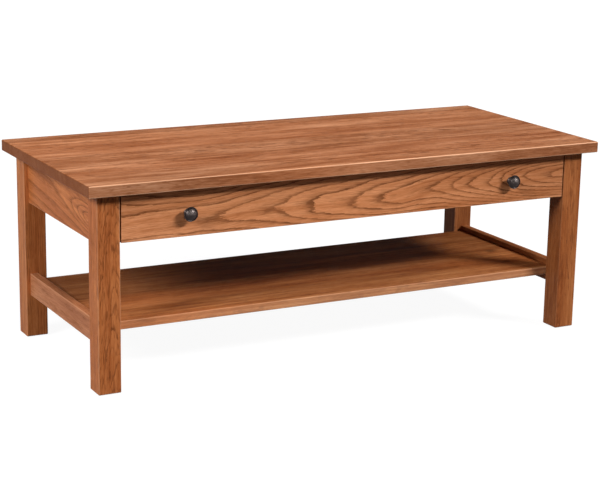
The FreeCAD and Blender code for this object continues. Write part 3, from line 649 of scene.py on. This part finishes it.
# Each oak piece's cut of the log
OAK_CUTS = {
    # The top's edges are rubbed strongly: wear, with a painted highlight along its long edges
    "table_top": dict(axes=FLAT_PANEL, seed=1.0, wood="panel", boards=TOP_BOARDS, ring=0.004, taper=0.012,
                      width=0.56, contrast=0.5, streaks=1.0, bands=1.3, flecks=0.55, broken=0.7, rub=0.9,
                      long_edges=True, edge_tone=0.61, stain_and_painted_shading=spots(TOP_SPOTS)),
    "shelf": dict(axes=FLAT_PANEL, seed=2.0, boards=SHELF_BOARDS, ring=0.004, taper=0.015,
                  width=0.40, contrast=0.5, streaks=1.1, bands=0.8, flecks=0.40, broken=0.7, edge_pale=0.22,
                  rub=0.2, long_edges=True, stain_and_painted_shading=spots(SHELF_SPOTS)),
    "drawer_front": dict(axes=FRONT_BOARD, seed=3.0, wood="front", pith=FRONT_PITH, ring=FRONT_RING,
                         taper=0.0, rise=arch_spacing, fan=curve_along(UPPER_LEGS), lean=lower_legs,
                         wander=curve_along(PITH_LINE), stain_and_painted_shading=curve_along(FRONT_STAIN_AND_SHADE), drift=0.005,
                         ripple=0.005, uneven=0.0, width=0.95, broken=0.2, bands=0.3, tone=1.04, rub=0.05),
    "apron_left": dict(axes=RISING_BOARD, seed=4.0, pith=(0.0, 0.0387, -0.2161), ring=APRON_RING, taper=0.0,
                       rise=front_end_arches, plain=plain_middle, drift=0.008, uneven=0.0,
                       broken=0.15, contrast=1.0),
    "apron_right": dict(axes=SIDE_BOARD, seed=5.0, pith=(0.0, 0.0, -0.2), taper=0.04, width=0.7),
    "apron_back": dict(axes=FRONT_BOARD, seed=6.0, pith=(0.0, 0.02, 0.26), taper=0.03, width=0.7),
    "front_rail": dict(axes=FLAT_PANEL, seed=7.0),
    "stretcher_left": dict(axes=SIDE_BOARD, seed=8.0, wood="panel", pith=(0.0, 0.03, 0.2), taper=0.01,
                           contrast=0.25, broken=0.8, streaks=0.7, bands=0.9, tone=0.78, rub=0.25),
    "stretcher_right": dict(axes=SIDE_BOARD, seed=9.0, pith=(0.0, -0.02, -0.2), taper=0.015, contrast=0.4,
                            broken=0.8, bands=0.9, tone=0.70, rub=0.15),
    "leg_front_left": dict(axes=UPRIGHT, seed=10.0, pith=(0.0, 0.012, 0.05), taper=-0.06, ring=0.0026,
                           drift=0.03, ripple=0.010, broken=0.8, contrast=0.8, pores=1.3, flecks=0.6,
                           fleck_size=LEG_FLECKS, tone=0.82, edge_tone=1.25),
    # The right front leg's low tone and its darker side faces are painted shade
    "leg_front_right": dict(axes=UPRIGHT, seed=11.0, pith=(0.0, -0.030, 0.12), taper=-0.025, ring=0.0038,
                            ripple=0.014, broken=0.85, contrast=0.6, pores=1.2, streaks=0.5, bands=0.9,
                            flecks=0.35, fleck_size=LEG_FLECKS, tone=0.68, edge_tone=0.74, rub=0.08),
    "leg_back_left": dict(axes=UPRIGHT, seed=12.0, pith=(0.0, 0.10, 0.06), ring=0.004, ripple=0.010,
                          broken=0.7, contrast=0.6, tone=1.00, edge_tone=0.92),
    # The back right leg's low tone is painted shade
    "leg_back_right": dict(axes=UPRIGHT, seed=13.0, pith=(0.0, -0.09, 0.08), ring=0.004, ripple=0.010,
                           broken=0.7, contrast=0.6, tone=0.53),
}

# Cuts of the drawer box, its plywood bottom and the plain strips, and the first seeds of like pieces
BOX_CUT = dict(wood="box", pith=(0.0, 0.02, -0.16), ring=0.0035, contrast=0.5, pores=0.3)
PLY_CUT = dict(axes=FLAT_PANEL, seed=30.0, wood="ply", pith=(0.0, 0.1, -0.3), ring=0.009, taper=0.05,
               drift=0.16, contrast=0.5, pores=0.4)
STRIP_CUT = dict(axes=SIDE_BOARD, wood="plain", pith=(0.0, 0.03, -0.1), ring=0.0035, contrast=0.6,
                 pores=0.5)
BOX_SEED = 20
STRIP_SEED = 40


def plain_words(node):
    """A node's name in plain words."""
    return node.replace("_", " ")


def oak(node):
    """The stained oak of one piece."""
    return timber("stained oak " + plain_words(node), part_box(node), **OAK_CUTS[node])


# Metal and nylon

# Each finish of the steel: how often its marks repeat in a metre along X, Y and Z, its roughness, and the
# names, or their starts, of the pieces that have it
STEEL_FINISHES = {
    "rolled zinc steel": ((900.0, 6.0, 900.0), 0.34, (
        "slide_case_left", "slide_case_right", "slide_middle", "slide_drawer_left", "slide_drawer_right")),
    "pressed zinc steel": ((300.0, 40.0, 300.0), 0.40, ("ball_cage",)),
    "polished steel": (even(200.0), 0.20, ("balls",)),
    "bent zinc steel": ((60.0, 700.0, 700.0), 0.36, ("top_clips",)),
    "screw zinc steel": (even(500.0), 0.32, (
        "top_clip_screws", "front_rail_screws", "cleat_screws", "shelf_screws", "drawer_front_screws",
        "knob_screws", "packer_screws", "slide_case_screws", "slide_drawer_screws")),
}
DULL_ZINC = (0.52, 0.50, 0.44, 1.0)
SCUFFED_NYLON = (0.30, 0.25, 0.21, 1.0)
NYLON_SCUFFS = (90.0, 900.0, 900.0)

# Relief of the finishes in metres
ZINC_RELIEF = 0.00006
NYLON_RELIEF = 0.00005
BRONZE_RELIEF = 0.00002

# Where a knob is rubbed: its rim by its radii; where a painted highlight lies: within these face radii and
# on its upper side between these heights
KNOB_RIM = (0.0140, 0.0157)
KNOB_HIGHLIGHT_RADII = (0.0090, 0.0140)
KNOB_HIGHLIGHT_HEIGHTS = (-0.0040, 0.0060)
RIM_RUBBING = 0.25


def zinc_steel(name, marks, polish):
    """Steel with the marks of its making, clouds of duller zinc and a fine grain."""
    finish = bpy.context.scene.table_finish
    material, tree = empty_material(name)
    place = add(tree, "TexCoord").outputs["Object"]
    mark = noise(tree, place, marks, 3.0)
    cloud = noise(tree, place, even(120.0), 2.0)
    grain = noise(tree, place, even(2600.0), 1.0)
    colour = scaled(tree, finish.zinc, swing(tree, cloud, 0.35, swing(tree, mark, 0.22, 0.95)))
    colour = mixed(tree, spread(tree, cloud, 0.55, 0.75, 0.0, 0.25), colour, DULL_ZINC)
    rough = swing(tree, mark, 0.16, swing(tree, cloud, 0.18, polish))
    height = calc(tree, "MULTIPLY_ADD", mark, 0.7, calc(tree, "MULTIPLY", grain, 0.3))
    surface(tree, colour, rough, height, ZINC_RELIEF, {"Metallic": 1.0})
    return material


def brown_nylon():
    """Moulded brown nylon with a fine matt grain and scuffs."""
    finish = bpy.context.scene.table_finish
    material, tree = empty_material("brown nylon")
    place = add(tree, "TexCoord").outputs["Object"]
    cloud = noise(tree, place, even(160.0), 3.0)
    grain = noise(tree, place, even(3000.0), 1.0)
    scuff = spread(tree, noise(tree, place, NYLON_SCUFFS, 2.0), 0.58, 0.72)
    colour = scaled(tree, finish.nylon, swing(tree, cloud, 0.5, 1.0))
    colour = mixed(tree, calc(tree, "MULTIPLY", scuff, 0.3), colour, SCUFFED_NYLON)
    rough = calc(tree, "MULTIPLY_ADD", scuff, 0.2, swing(tree, cloud, 0.15, 0.45))
    surface(tree, colour, rough, grain, NYLON_RELIEF, {"Specular IOR Level": 0.5})
    return material


def dark_bronze(centre):
    """Oil-darkened bronze, rubbed paler on the knob's rim and the high spots of its face, with a painted
    highlight on its upper side.
    """
    finish = bpy.context.scene.table_finish
    material, tree = empty_material("dark bronze")
    place = add(tree, "TexCoord").outputs["Object"]
    parts = split(tree, place)
    off = calc(tree, "SUBTRACT", calc(tree, "ABSOLUTE", parts[X]), abs(centre.x))
    high = calc(tree, "SUBTRACT", parts[Z], centre.z)
    radius = calc(tree, "SQRT", calc(
        tree, "ADD", calc(tree, "MULTIPLY", off, off), calc(tree, "MULTIPLY", high, high)))
    rim = spread(tree, radius, *KNOB_RIM)
    cloud = noise(tree, place, even(420.0), 3.0)
    speck = noise(tree, place, even(2400.0), 2.0)
    face = spread(tree, radius, *KNOB_HIGHLIGHT_RADII, 1.0, 0.0)
    # A painted highlight: the face paler on its upper side
    upper = calc(tree, "MULTIPLY", spread(tree, high, *KNOB_HIGHLIGHT_HEIGHTS), face)
    wear_and_highlight = calc(tree, "MAXIMUM", calc(tree, "MULTIPLY", rim, RIM_RUBBING), upper)
    wear_and_highlight = calc(tree, "MULTIPLY", wear_and_highlight, spread(tree, cloud, 0.35, 0.65, 0.15, 0.80))
    wear_and_highlight = calc(tree, "MAXIMUM", wear_and_highlight, spread(tree, speck, 0.62, 0.80, 0.0, 0.35))
    colour = scaled(tree, finish.bronze, swing(tree, cloud, 0.8, 1.0))
    colour = mixed(tree, wear_and_highlight, colour, opaque(finish.bronze_rubbed_and_highlight))
    rough = swing(tree, cloud, 0.16, swing(tree, speck, 0.12, 0.40))
    rough = calc(tree, "MULTIPLY_ADD", rim, 0.10, rough)
    surface(tree, colour, rough, speck, BRONZE_RELIEF, {"Metallic": 0.75, "Specular IOR Level": 0.5})
    return material


def paint(node, material):
    """Gives a CAD node a material of this file."""
    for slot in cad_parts[node].material_slots:
        slot.material = material


# Modelling

# Distances within which points are welded, touch a face, and lie inside the clip groove
WELDED = MM / 1000
TOUCHING = MM / 100
GROOVE_SLACK = MM / 10

# Sanding: an edge's mean share of its rounding, how far, how often in a metre and how strongly that varies,
# and the steps of a rounding
EDGE_MEAN = 0.84
EDGE_SWING = 0.16
EDGE_WAVES = 11.0
EDGE_GAIN = 1.6
EDGE_STEPS = 4

# Edges that turn by more than this stay sharp.
BLOCK_SMOOTH = math.radians(30.0)
KNOB_SMOOTH = math.radians(50.0)


def start_block(name, box):
    """A block between two corners, its place in its mesh, ready to be worked on."""
    low, high = box
    bpy.ops.object.select_all(action="DESELECT")
    bpy.ops.mesh.primitive_cube_add(size=1.0, location=(low + high) / 2, scale=high - low)
    bpy.ops.object.transform_apply(location=True, rotation=True, scale=True)
    block = bpy.context.active_object
    block.name = block.data.name = name
    bpy.ops.object.shade_smooth_by_angle(angle=BLOCK_SMOOTH)
    return block


def saw(point, normal):
    """One cut through the whole piece, in edit mode."""
    bpy.ops.mesh.select_all(action="SELECT")
    bpy.ops.mesh.bisect(plane_co=point, plane_no=normal)


def direction(axis):
    """The unit vector of an axis."""
    return Vector([float(axis == part) for part in (X, Y, Z)])


def saw_steps(box, axis):
    """Even cuts along an axis, so that the edges can vary from cut to cut."""
    low, high = box
    spacing = bpy.context.scene.table_shape.cut_spacing
    count = max(2, round((high[axis] - low[axis]) / spacing))
    for step in range(1, count):
        saw(low.lerp(high, step / count), direction(axis))


def choose(piece, kind, test):
    """Selects only those faces or edges of a piece, in edit mode, that pass a test."""
    bpy.ops.mesh.select_mode(type="FACE" if kind == "faces" else "EDGE")
    bpy.ops.mesh.select_all(action="DESELECT")
    mesh = bmesh.from_edit_mesh(piece.data)
    for element in getattr(mesh, kind):
        element.select_set(test(element))
    bmesh.update_edit_mesh(piece.data)


def saw_clip_groove(piece, box, along, inside, inner):
    """Saws the groove for the top's clips along the inner face of an apron."""
    shape = bpy.context.scene.table_shape
    low, high = box
    floor = inner + math.copysign(shape.groove_depth, (low[inside] + high[inside]) / 2 - inner)
    bpy.ops.object.mode_set(mode="EDIT")
    for height in (shape.groove_low, shape.groove_high):
        saw(Vector((0.0, 0.0, height)), direction(Z))
    saw(direction(inside) * floor, direction(inside))
    near, far = sorted((inner, floor))

    def in_groove(face):
        at = face.calc_center_median()
        level = shape.groove_low < at.z < shape.groove_high
        return level and near - GROOVE_SLACK < at[inside] < far + GROOVE_SLACK

    def at_open_end(edge):
        ends = [vert.co[along] for vert in edge.verts]
        outer = min(abs(ends[0] - low[along]), abs(ends[0] - high[along]))
        return edge.is_boundary and abs(ends[0] - ends[1]) < TOUCHING and outer < TOUCHING

    choose(piece, "faces", in_groove)
    bpy.ops.mesh.delete(type="FACE")
    choose(piece, "edges", at_open_end)
    bpy.ops.mesh.bridge_edge_loops()
    bpy.ops.mesh.select_all(action="SELECT")
    bpy.ops.mesh.normals_make_consistent(inside=False)
    bpy.ops.object.mode_set(mode="OBJECT")


def sand_edges(piece, box, axes, width, sharp=()):
    """Rounds a block's edges a little unevenly, as a sanding block does.

    sharp lists the faces, as (axis, side), that meet other wood and keep their edges."""
    bpy.ops.object.mode_set(mode="EDIT")
    for axis in axes:
        saw_steps(box, axis)
    bpy.ops.object.mode_set(mode="OBJECT")
    weights = piece.data.attributes.new("bevel_weight_edge", "FLOAT", "EDGE")
    points = piece.data.vertices

    def lie_on(ends, axis, side):
        return all(abs(end[axis] - box[side][axis]) < TOUCHING for end in ends)

    for edge in piece.data.edges:
        ends = [points[index].co for index in edge.vertices]
        faces = {(axis, side) for axis in (X, Y, Z) for side in (0, 1) if lie_on(ends, axis, side)}
        if len(faces) == 2 and not faces & set(sharp):
            wander = EDGE_GAIN * soft.noise((ends[0] + ends[1]) * EDGE_WAVES)
            weights.data[edge.index].value = EDGE_MEAN + EDGE_SWING * max(-1.0, min(1.0, wander))
    bevel = piece.modifiers.new("Sanded edges", "BEVEL")
    bevel.width = width
    bevel.segments = EDGE_STEPS
    bevel.limit_method = "WEIGHT"
    bevel.harden_normals = True
    bpy.ops.object.modifier_apply(modifier=bevel.name)
    piece.data.attributes.remove(piece.data.attributes["bevel_weight_edge"])


def copy_piece(piece, name, move):
    """A copy of a piece with a mesh of its own, moved to its place."""
    bpy.ops.object.select_all(action="DESELECT")
    piece.select_set(True)
    bpy.context.view_layer.objects.active = piece
    bpy.ops.object.duplicate_move(TRANSFORM_OT_translate={"value": move})
    bpy.ops.object.transform_apply(location=True, rotation=True, scale=True)
    twin = bpy.context.active_object
    twin.name = twin.data.name = name
    return twin


def fit(piece, node, body, material):
    """Puts a finished piece in a CAD node's place."""
    piece.data.materials.clear()
    piece.data.materials.append(material)
    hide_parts(node)
    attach(piece, body)


class OAKTABLE_OT_panels(bpy.types.Operator):
    """Make the table's top and shelf, glued up from boards"""

    bl_idname = "oak_table.panels"
    bl_label = "Top and shelf"

    def execute(self, context):
        shape = context.scene.table_shape
        for node, edge in (("table_top", shape.top_edge), ("shelf", shape.shelf_edge)):
            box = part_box(node)
            panel = start_block("oak_" + node, box)
            sand_edges(panel, box, (X, Y), edge)
            fit(panel, node, "frame", oak(node))
        return {"FINISHED"}


class OAKTABLE_OT_legs(bpy.types.Operator):
    """Make one leg and copy it to the other corners"""

    bl_idname = "oak_table.legs"
    bl_label = "Legs"

    def execute(self, context):
        shape = context.scene.table_shape
        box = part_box("leg_front_left")
        first = start_block("oak_leg_front_left", box)
        sand_edges(first, box, (Z,), shape.leg_edge, sharp=((Z, 1),))
        legs = {"leg_front_left": first}
        for node in ("leg_front_right", "leg_back_left", "leg_back_right"):
            legs[node] = copy_piece(first, "oak_" + node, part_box(node)[0] - box[0])
        for node, leg in legs.items():
            fit(leg, node, "frame", oak(node))
        return {"FINISHED"}


class OAKTABLE_OT_rails(bpy.types.Operator):
    """Make the aprons with their clip grooves, and the stretchers"""

    bl_idname = "oak_table.rails"
    bl_label = "Aprons and stretchers"

    def execute(self, context):
        left_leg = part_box("leg_front_left")
        back_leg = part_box("leg_back_right")
        inner_x, inner_y = back_leg[0].x, back_leg[0].y
        for node in ("apron_left", "apron_right", "stretcher_left", "stretcher_right"):
            low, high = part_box(node)
            low.y, high.y = left_leg[1].y, inner_y
            rail = start_block("oak_" + node, (low, high))
            if node.startswith("apron"):
                inner = min(low.x, high.x, key=abs)
                saw_clip_groove(rail, (low, high), Y, X, inner)
            self.finish(context, rail, node, (low, high), Y)
        low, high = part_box("apron_back")
        low.x, high.x = -inner_x, inner_x
        rail = start_block("oak_apron_back", (low, high))
        saw_clip_groove(rail, (low, high), X, Y, low.y)
        self.finish(context, rail, "apron_back", (low, high), X)
        return {"FINISHED"}

    def finish(self, context, rail, node, box, along):
        """Sands a rail's long edges and puts it in place."""
        edge = context.scene.table_shape.rail_edge
        sand_edges(rail, box, (along,), edge, sharp=((along, 0), (along, 1)))
        fit(rail, node, "frame", oak(node))


class OAKTABLE_OT_drawer(bpy.types.Operator):
    """Make the drawer's front, and give the drawer box its woods"""

    bl_idname = "oak_table.drawer"
    bl_label = "Drawer"

    def execute(self, context):
        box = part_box("drawer_front")
        front = start_block("oak_drawer_front", box)
        sand_edges(front, box, (X, Z), context.scene.table_shape.front_edge)
        fit(front, "drawer_front", "drawer", oak("drawer_front"))
        walls = {"drawer_box_front": FRONT_BOARD, "drawer_back": FRONT_BOARD,
                 "drawer_side_left": SIDE_BOARD, "drawer_side_right": SIDE_BOARD, "drawer_brace": SIDE_BOARD}
        for seed, (node, axes) in enumerate(walls.items(), BOX_SEED):
            paint(node, timber("drawer wood " + plain_words(node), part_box(node), axes, seed, **BOX_CUT))
        paint("drawer_bottom", timber("plywood veneer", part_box("drawer_bottom"), **PLY_CUT))
        return {"FINISHED"}


# The knob's outline in millimetres: (radius, height, bow of the way there, points on that way)
KNOB_OUTLINE = (
    (9.0, 0.0, 0.0, 4),
    (9.0, 1.5, 0.0, 2),
    (6.3, 7.0, -0.6, 8),
    (14.275, 14.6, -2.1, 12),
    (14.275, 19.2, 1.6, 14),
    (12.9, 18.3, 0.0, 2),
    (0.0, 25.0, 1.77, 26),
)
KNOB_STEPS = 96

# Hammer marks: the height that they keep above, the dome's radius, how far in from it they reach their full
# depth, all in millimetres, and the level of the pattern that stays in place
HAMMER_LOW = 18.4
DOME_RADIUS = 12.9
HAMMER_FADE = 1.5
HAMMER_LEVEL = 0.75


class OAKTABLE_OT_knobs(bpy.types.Operator):
    """Turn one knob, hammer its face and copy it"""

    bl_idname = "oak_table.knobs"
    bl_label = "Knobs"

    def execute(self, context):
        low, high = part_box("knob_left")
        seat = Vector(((low.x + high.x) / 2, high.y, (low.z + high.z) / 2))
        first = self.turn(seat)
        self.hammer(context, first, seat)
        twin = copy_piece(first, "bronze_knob_right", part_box("knob_right")[1] - high)
        material = dark_bronze(seat)
        fit(first, "knob_left", "drawer", material)
        fit(twin, "knob_right", "drawer", material)
        return {"FINISHED"}

    def outline(self):
        """The outline's steps from its start on the knob's axis: (out, up) in millimetres."""
        at = Vector((0.0, 0.0))
        for radius, height, bow, count in KNOB_OUTLINE:
            goal = Vector((radius, height))
            way = goal - at
            side = Vector((way.y, -way.x)).normalized()
            last = at.copy()
            for step in range(1, count + 1):
                part = step / count
                point = at + way * part + side * (bow * 4.0 * part * (1.0 - part))
                yield point - last
                last = point
            at = goal

    def turn(self, seat):
        """A knob turned about its axis, standing out to the front from its seat."""
        bpy.ops.object.select_all(action="DESELECT")
        bpy.ops.mesh.primitive_plane_add(size=MM, location=seat)
        bpy.ops.object.transform_apply(location=True, rotation=True, scale=True)
        knob = bpy.context.active_object
        knob.name = knob.data.name = "bronze_knob_left"
        bpy.ops.object.mode_set(mode="EDIT")
        bpy.ops.mesh.select_mode(type="VERT")
        bpy.ops.mesh.select_all(action="SELECT")
        bpy.ops.mesh.merge(type="CENTER")
        for out, up in self.outline():
            step = (out * MM, -up * MM, 0.0)
            bpy.ops.mesh.extrude_region_move(TRANSFORM_OT_translate={"value": step})
        bpy.ops.mesh.select_all(action="SELECT")
        bpy.ops.mesh.spin(steps=KNOB_STEPS, angle=2 * math.pi, center=seat, axis=(0.0, 1.0, 0.0))
        bpy.ops.mesh.select_all(action="SELECT")
        bpy.ops.mesh.remove_doubles(threshold=WELDED)
        bpy.ops.mesh.normals_make_consistent(inside=False)
        bpy.ops.object.mode_set(mode="OBJECT")
        return knob

    def hammer(self, context, knob, seat):
        """Small dents all over the domed face."""
        shape = context.scene.table_shape
        dome = knob.vertex_groups.new(name="dome")
        for vert in knob.data.vertices:
            off = vert.co - seat
            radius = math.hypot(off.x, off.z) / MM
            if -off.y / MM > HAMMER_LOW and radius < DOME_RADIUS:
                dome.add([vert.index], min(1.0, (DOME_RADIUS - radius) / HAMMER_FADE), "REPLACE")
        marks = bpy.data.textures.new("hammer marks", "VORONOI")
        marks.noise_scale = shape.hammer_size
        dents = knob.modifiers.new("Hammer marks", "DISPLACE")
        dents.texture = marks
        dents.texture_coords = "LOCAL"
        dents.vertex_group = dome.name
        dents.strength = shape.hammer_depth
        dents.mid_level = HAMMER_LEVEL
        bpy.ops.object.modifier_apply(modifier=dents.name)
        knob.vertex_groups.clear()
        bpy.ops.object.shade_smooth_by_angle(angle=KNOB_SMOOTH)


class OAKTABLE_OT_joinery(bpy.types.Operator):
    """Finish the hidden rail and the plain strips that carry the shelf and the slides"""

    bl_idname = "oak_table.joinery"
    bl_label = "Hidden rail and strips"

    def execute(self, context):
        paint("front_rail", oak("front_rail"))
        strips = ("shelf_cleat_left", "shelf_cleat_right", "slide_packer_left", "slide_packer_right")
        for seed, node in enumerate(strips, STRIP_SEED):
            paint(node, timber("plain wood " + plain_words(node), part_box(node), seed=seed, **STRIP_CUT))
        return {"FINISHED"}


class OAKTABLE_OT_hardware(bpy.types.Operator):
    """Finish the slides, balls, clips, screws and glides"""

    bl_idname = "oak_table.hardware"
    bl_label = "Hardware"

    def execute(self, context):
        finishes = [(zinc_steel(name, marks, polish), starts)
                    for name, (marks, polish, starts) in STEEL_FINISHES.items()]
        finishes.append((brown_nylon(), ("glide",)))
        for material, starts in finishes:
            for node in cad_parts:
                if node.startswith(starts):
                    paint(node, material)
        return {"FINISHED"}


# Lamps: degrees from the front to the right, degrees up, metres away, and (width, height) in metres
KEY_LAMP = (40.0, 32.5, 16.0, (5.0, 1.6))
SIDE_LAMP = (-70.0, 30.0, 6.0, (2.0, 2.0))
REAR_LAMP = (180.0, 2.0, 8.0, (4.0, 0.6))
LAMP_AIM = Vector((0.0, 0.0, 0.25))

# The floor's width and clouds, where it fades to white, and the heights between which mirrored white ends
FLOOR_SIZE = 120.0
FLOOR_CLOUDS = 1.5
CLOUD_SHARE = 0.05
CLOUD_TONE = 0.15
FLOOR_FADE = (1.5, 5.0)
HORIZON = (0.02, 0.12)

# The camera's sensor in millimetres, and how far it sees in metres
SENSOR_WIDTH = 36.0
FARTHEST = 200.0


class OAKTABLE_OT_stage(bpy.types.Operator):
    """Set the floor, the lamps and the camera"""

    bl_idname = "oak_table.stage"
    bl_label = "Set the stage"

    def execute(self, context):
        look = context.scene.stage_look
        context.scene.view_settings.view_transform = "Standard"
        self.floor(look)
        self.world(context.scene, look)
        self.lamp("key lamp", *KEY_LAMP, look.key)
        self.lamp("side lamp", *SIDE_LAMP, look.side)
        rear = self.lamp("rear lamp", *REAR_LAMP, look.rear)
        rear.visible_glossy = False
        self.camera(context.scene, look)
        return {"FINISHED"}

    def floor(self, look):
        """A pale floor that shows white to the camera and in reflections, and keeps the table's shadow."""
        bpy.ops.object.select_all(action="DESELECT")
        bpy.ops.mesh.primitive_plane_add(size=FLOOR_SIZE)
        floor = bpy.context.active_object
        floor.name = "floor"
        material, tree = empty_material("pale floor")
        place = add(tree, "TexCoord").outputs["Object"]
        cloud = noise(tree, place, even(FLOOR_CLOUDS), 3.0)
        cover = calc(tree, "MULTIPLY", cloud, CLOUD_SHARE)
        tone = mixed(tree, cover, opaque(look.floor_tone), grey(CLOUD_TONE))
        matt = add(tree, "BsdfDiffuse", {"Color": tone})
        path = add(tree, "LightPath").outputs
        seen = calc(tree, "MAXIMUM", path["Is Camera Ray"], path["Is Glossy Ray"])
        seen = calc(tree, "MAXIMUM", seen, path["Is Transmission Ray"])
        far = add(tree, "VectorMath", {0: place}, operation="LENGTH").outputs[1]
        white = spread(tree, far, *FLOOR_FADE, look.floor_glow, 1.0)
        glow = add(tree, "Emission", {"Color": grey(1.0), "Strength": calc(tree, "MULTIPLY", seen, white)})
        both = add(tree, "AddShader", {0: matt.outputs[0], 1: glow.outputs[0]})
        add(tree, "OutputMaterial", {0: both.outputs[0]})
        floor.data.materials.append(material)
        floor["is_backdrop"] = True

    def world(self, scene, look):
        """A room that is lighter in front than behind, and white behind the table."""
        scene.world = bpy.data.worlds.new("studio")
        scene.world.use_nodes = True
        tree = scene.world.node_tree
        tree.nodes.clear()
        way = split(tree, add(tree, "TexCoord").outputs["Generated"])
        level = add(tree, "MapRange", {0: way[Y], 1: -1.0, 2: 1.0, 3: look.front, 4: look.back}).outputs[0]
        room = add(tree, "Background", {"Color": grey(1.0), "Strength": level})
        white = add(tree, "Background", {"Color": grey(1.0), "Strength": 1.0})
        path = add(tree, "LightPath").outputs
        mirrored = calc(tree, "MAXIMUM", path["Is Glossy Ray"], path["Is Transmission Ray"])
        mirrored = calc(tree, "MULTIPLY", mirrored, spread(tree, way[Z], *HORIZON, 1.0, 0.0))
        seen = calc(tree, "MAXIMUM", path["Is Camera Ray"], mirrored)
        choice = add(tree, "MixShader", {0: seen, 1: room.outputs[0], 2: white.outputs[0]})
        add(tree, "OutputWorld", {0: choice.outputs[0]})

    def lamp(self, name, azimuth, elevation, distance, size, level):
        """A soft lamp of some width and height that gives a face turned to it that level of light."""
        a, e = math.radians(azimuth), math.radians(elevation)
        back = Vector((math.sin(a) * math.cos(e), -math.cos(a) * math.cos(e), math.sin(e)))
        bpy.ops.object.select_all(action="DESELECT")
        bpy.ops.object.light_add(type="AREA", location=LAMP_AIM + back * distance,
                                 rotation=(-back).to_track_quat("-Z", "Y").to_euler())
        lamp = bpy.context.active_object
        lamp.name = name
        lamp.visible_camera = False
        lamp.data.shape = "RECTANGLE"
        lamp.data.size, lamp.data.size_y = size
        lamp.data.energy = level * (math.pi * distance) ** 2
        return lamp

    def camera(self, scene, look):
        """A camera at the photograph's place."""
        turn = (Matrix.Rotation(look.azimuth, 4, "Z")
                @ Matrix.Rotation(math.pi / 2 - look.elevation, 4, "X")
                @ Matrix.Rotation(look.roll, 4, "Z"))
        bpy.ops.object.camera_add(location=look.camera_place, rotation=turn.to_euler())
        scene.camera = bpy.context.active_object
        scene.camera.name = "camera"
        scene.camera.data.sensor_width = SENSOR_WIDTH
        scene.camera.data.lens = look.lens
        scene.camera.data.clip_end = FARTHEST


class OAKTABLE_PT_panel(bpy.types.Panel):
    """The table's tools in the 3D view's sidebar"""

    bl_label = "Oak coffee table"
    bl_idname = "OAKTABLE_PT_panel"
    bl_space_type = "VIEW_3D"
    bl_region_type = "UI"
    bl_category = "Oak Table"

    def draw(self, context):
        for tool in TOOLS:
            self.layout.operator(tool.bl_idname)


GROUPS = {"table_shape": TableShape, "table_finish": TableFinish, "stage_look": StageLook}
TOOLS = (OAKTABLE_OT_panels, OAKTABLE_OT_legs, OAKTABLE_OT_rails, OAKTABLE_OT_drawer, OAKTABLE_OT_knobs,
         OAKTABLE_OT_joinery, OAKTABLE_OT_hardware, OAKTABLE_OT_stage)


def register():
    for kind in (*GROUPS.values(), *TOOLS, OAKTABLE_PT_panel):
        bpy.utils.register_class(kind)
    for name, group in GROUPS.items():
        setattr(bpy.types.Scene, name, PointerProperty(type=group))


def unregister():
    for name in GROUPS:
        delattr(bpy.types.Scene, name)
    for kind in reversed((*GROUPS.values(), *TOOLS, OAKTABLE_PT_panel)):
        bpy.utils.unregister_class(kind)


def main():
    register()
    bpy.ops.oak_table.panels()
    bpy.ops.oak_table.legs()
    bpy.ops.oak_table.rails()
    bpy.ops.oak_table.drawer()
    bpy.ops.oak_table.knobs()
    bpy.ops.oak_table.joinery()
    bpy.ops.oak_table.hardware()
    bpy.ops.oak_table.stage()
    boxes = {"cad": cad_box, "visual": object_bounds()}
    {name: [list(low), list(high)] for name, (low, high) in boxes.items()}


if __name__ == "__main__":
    main()
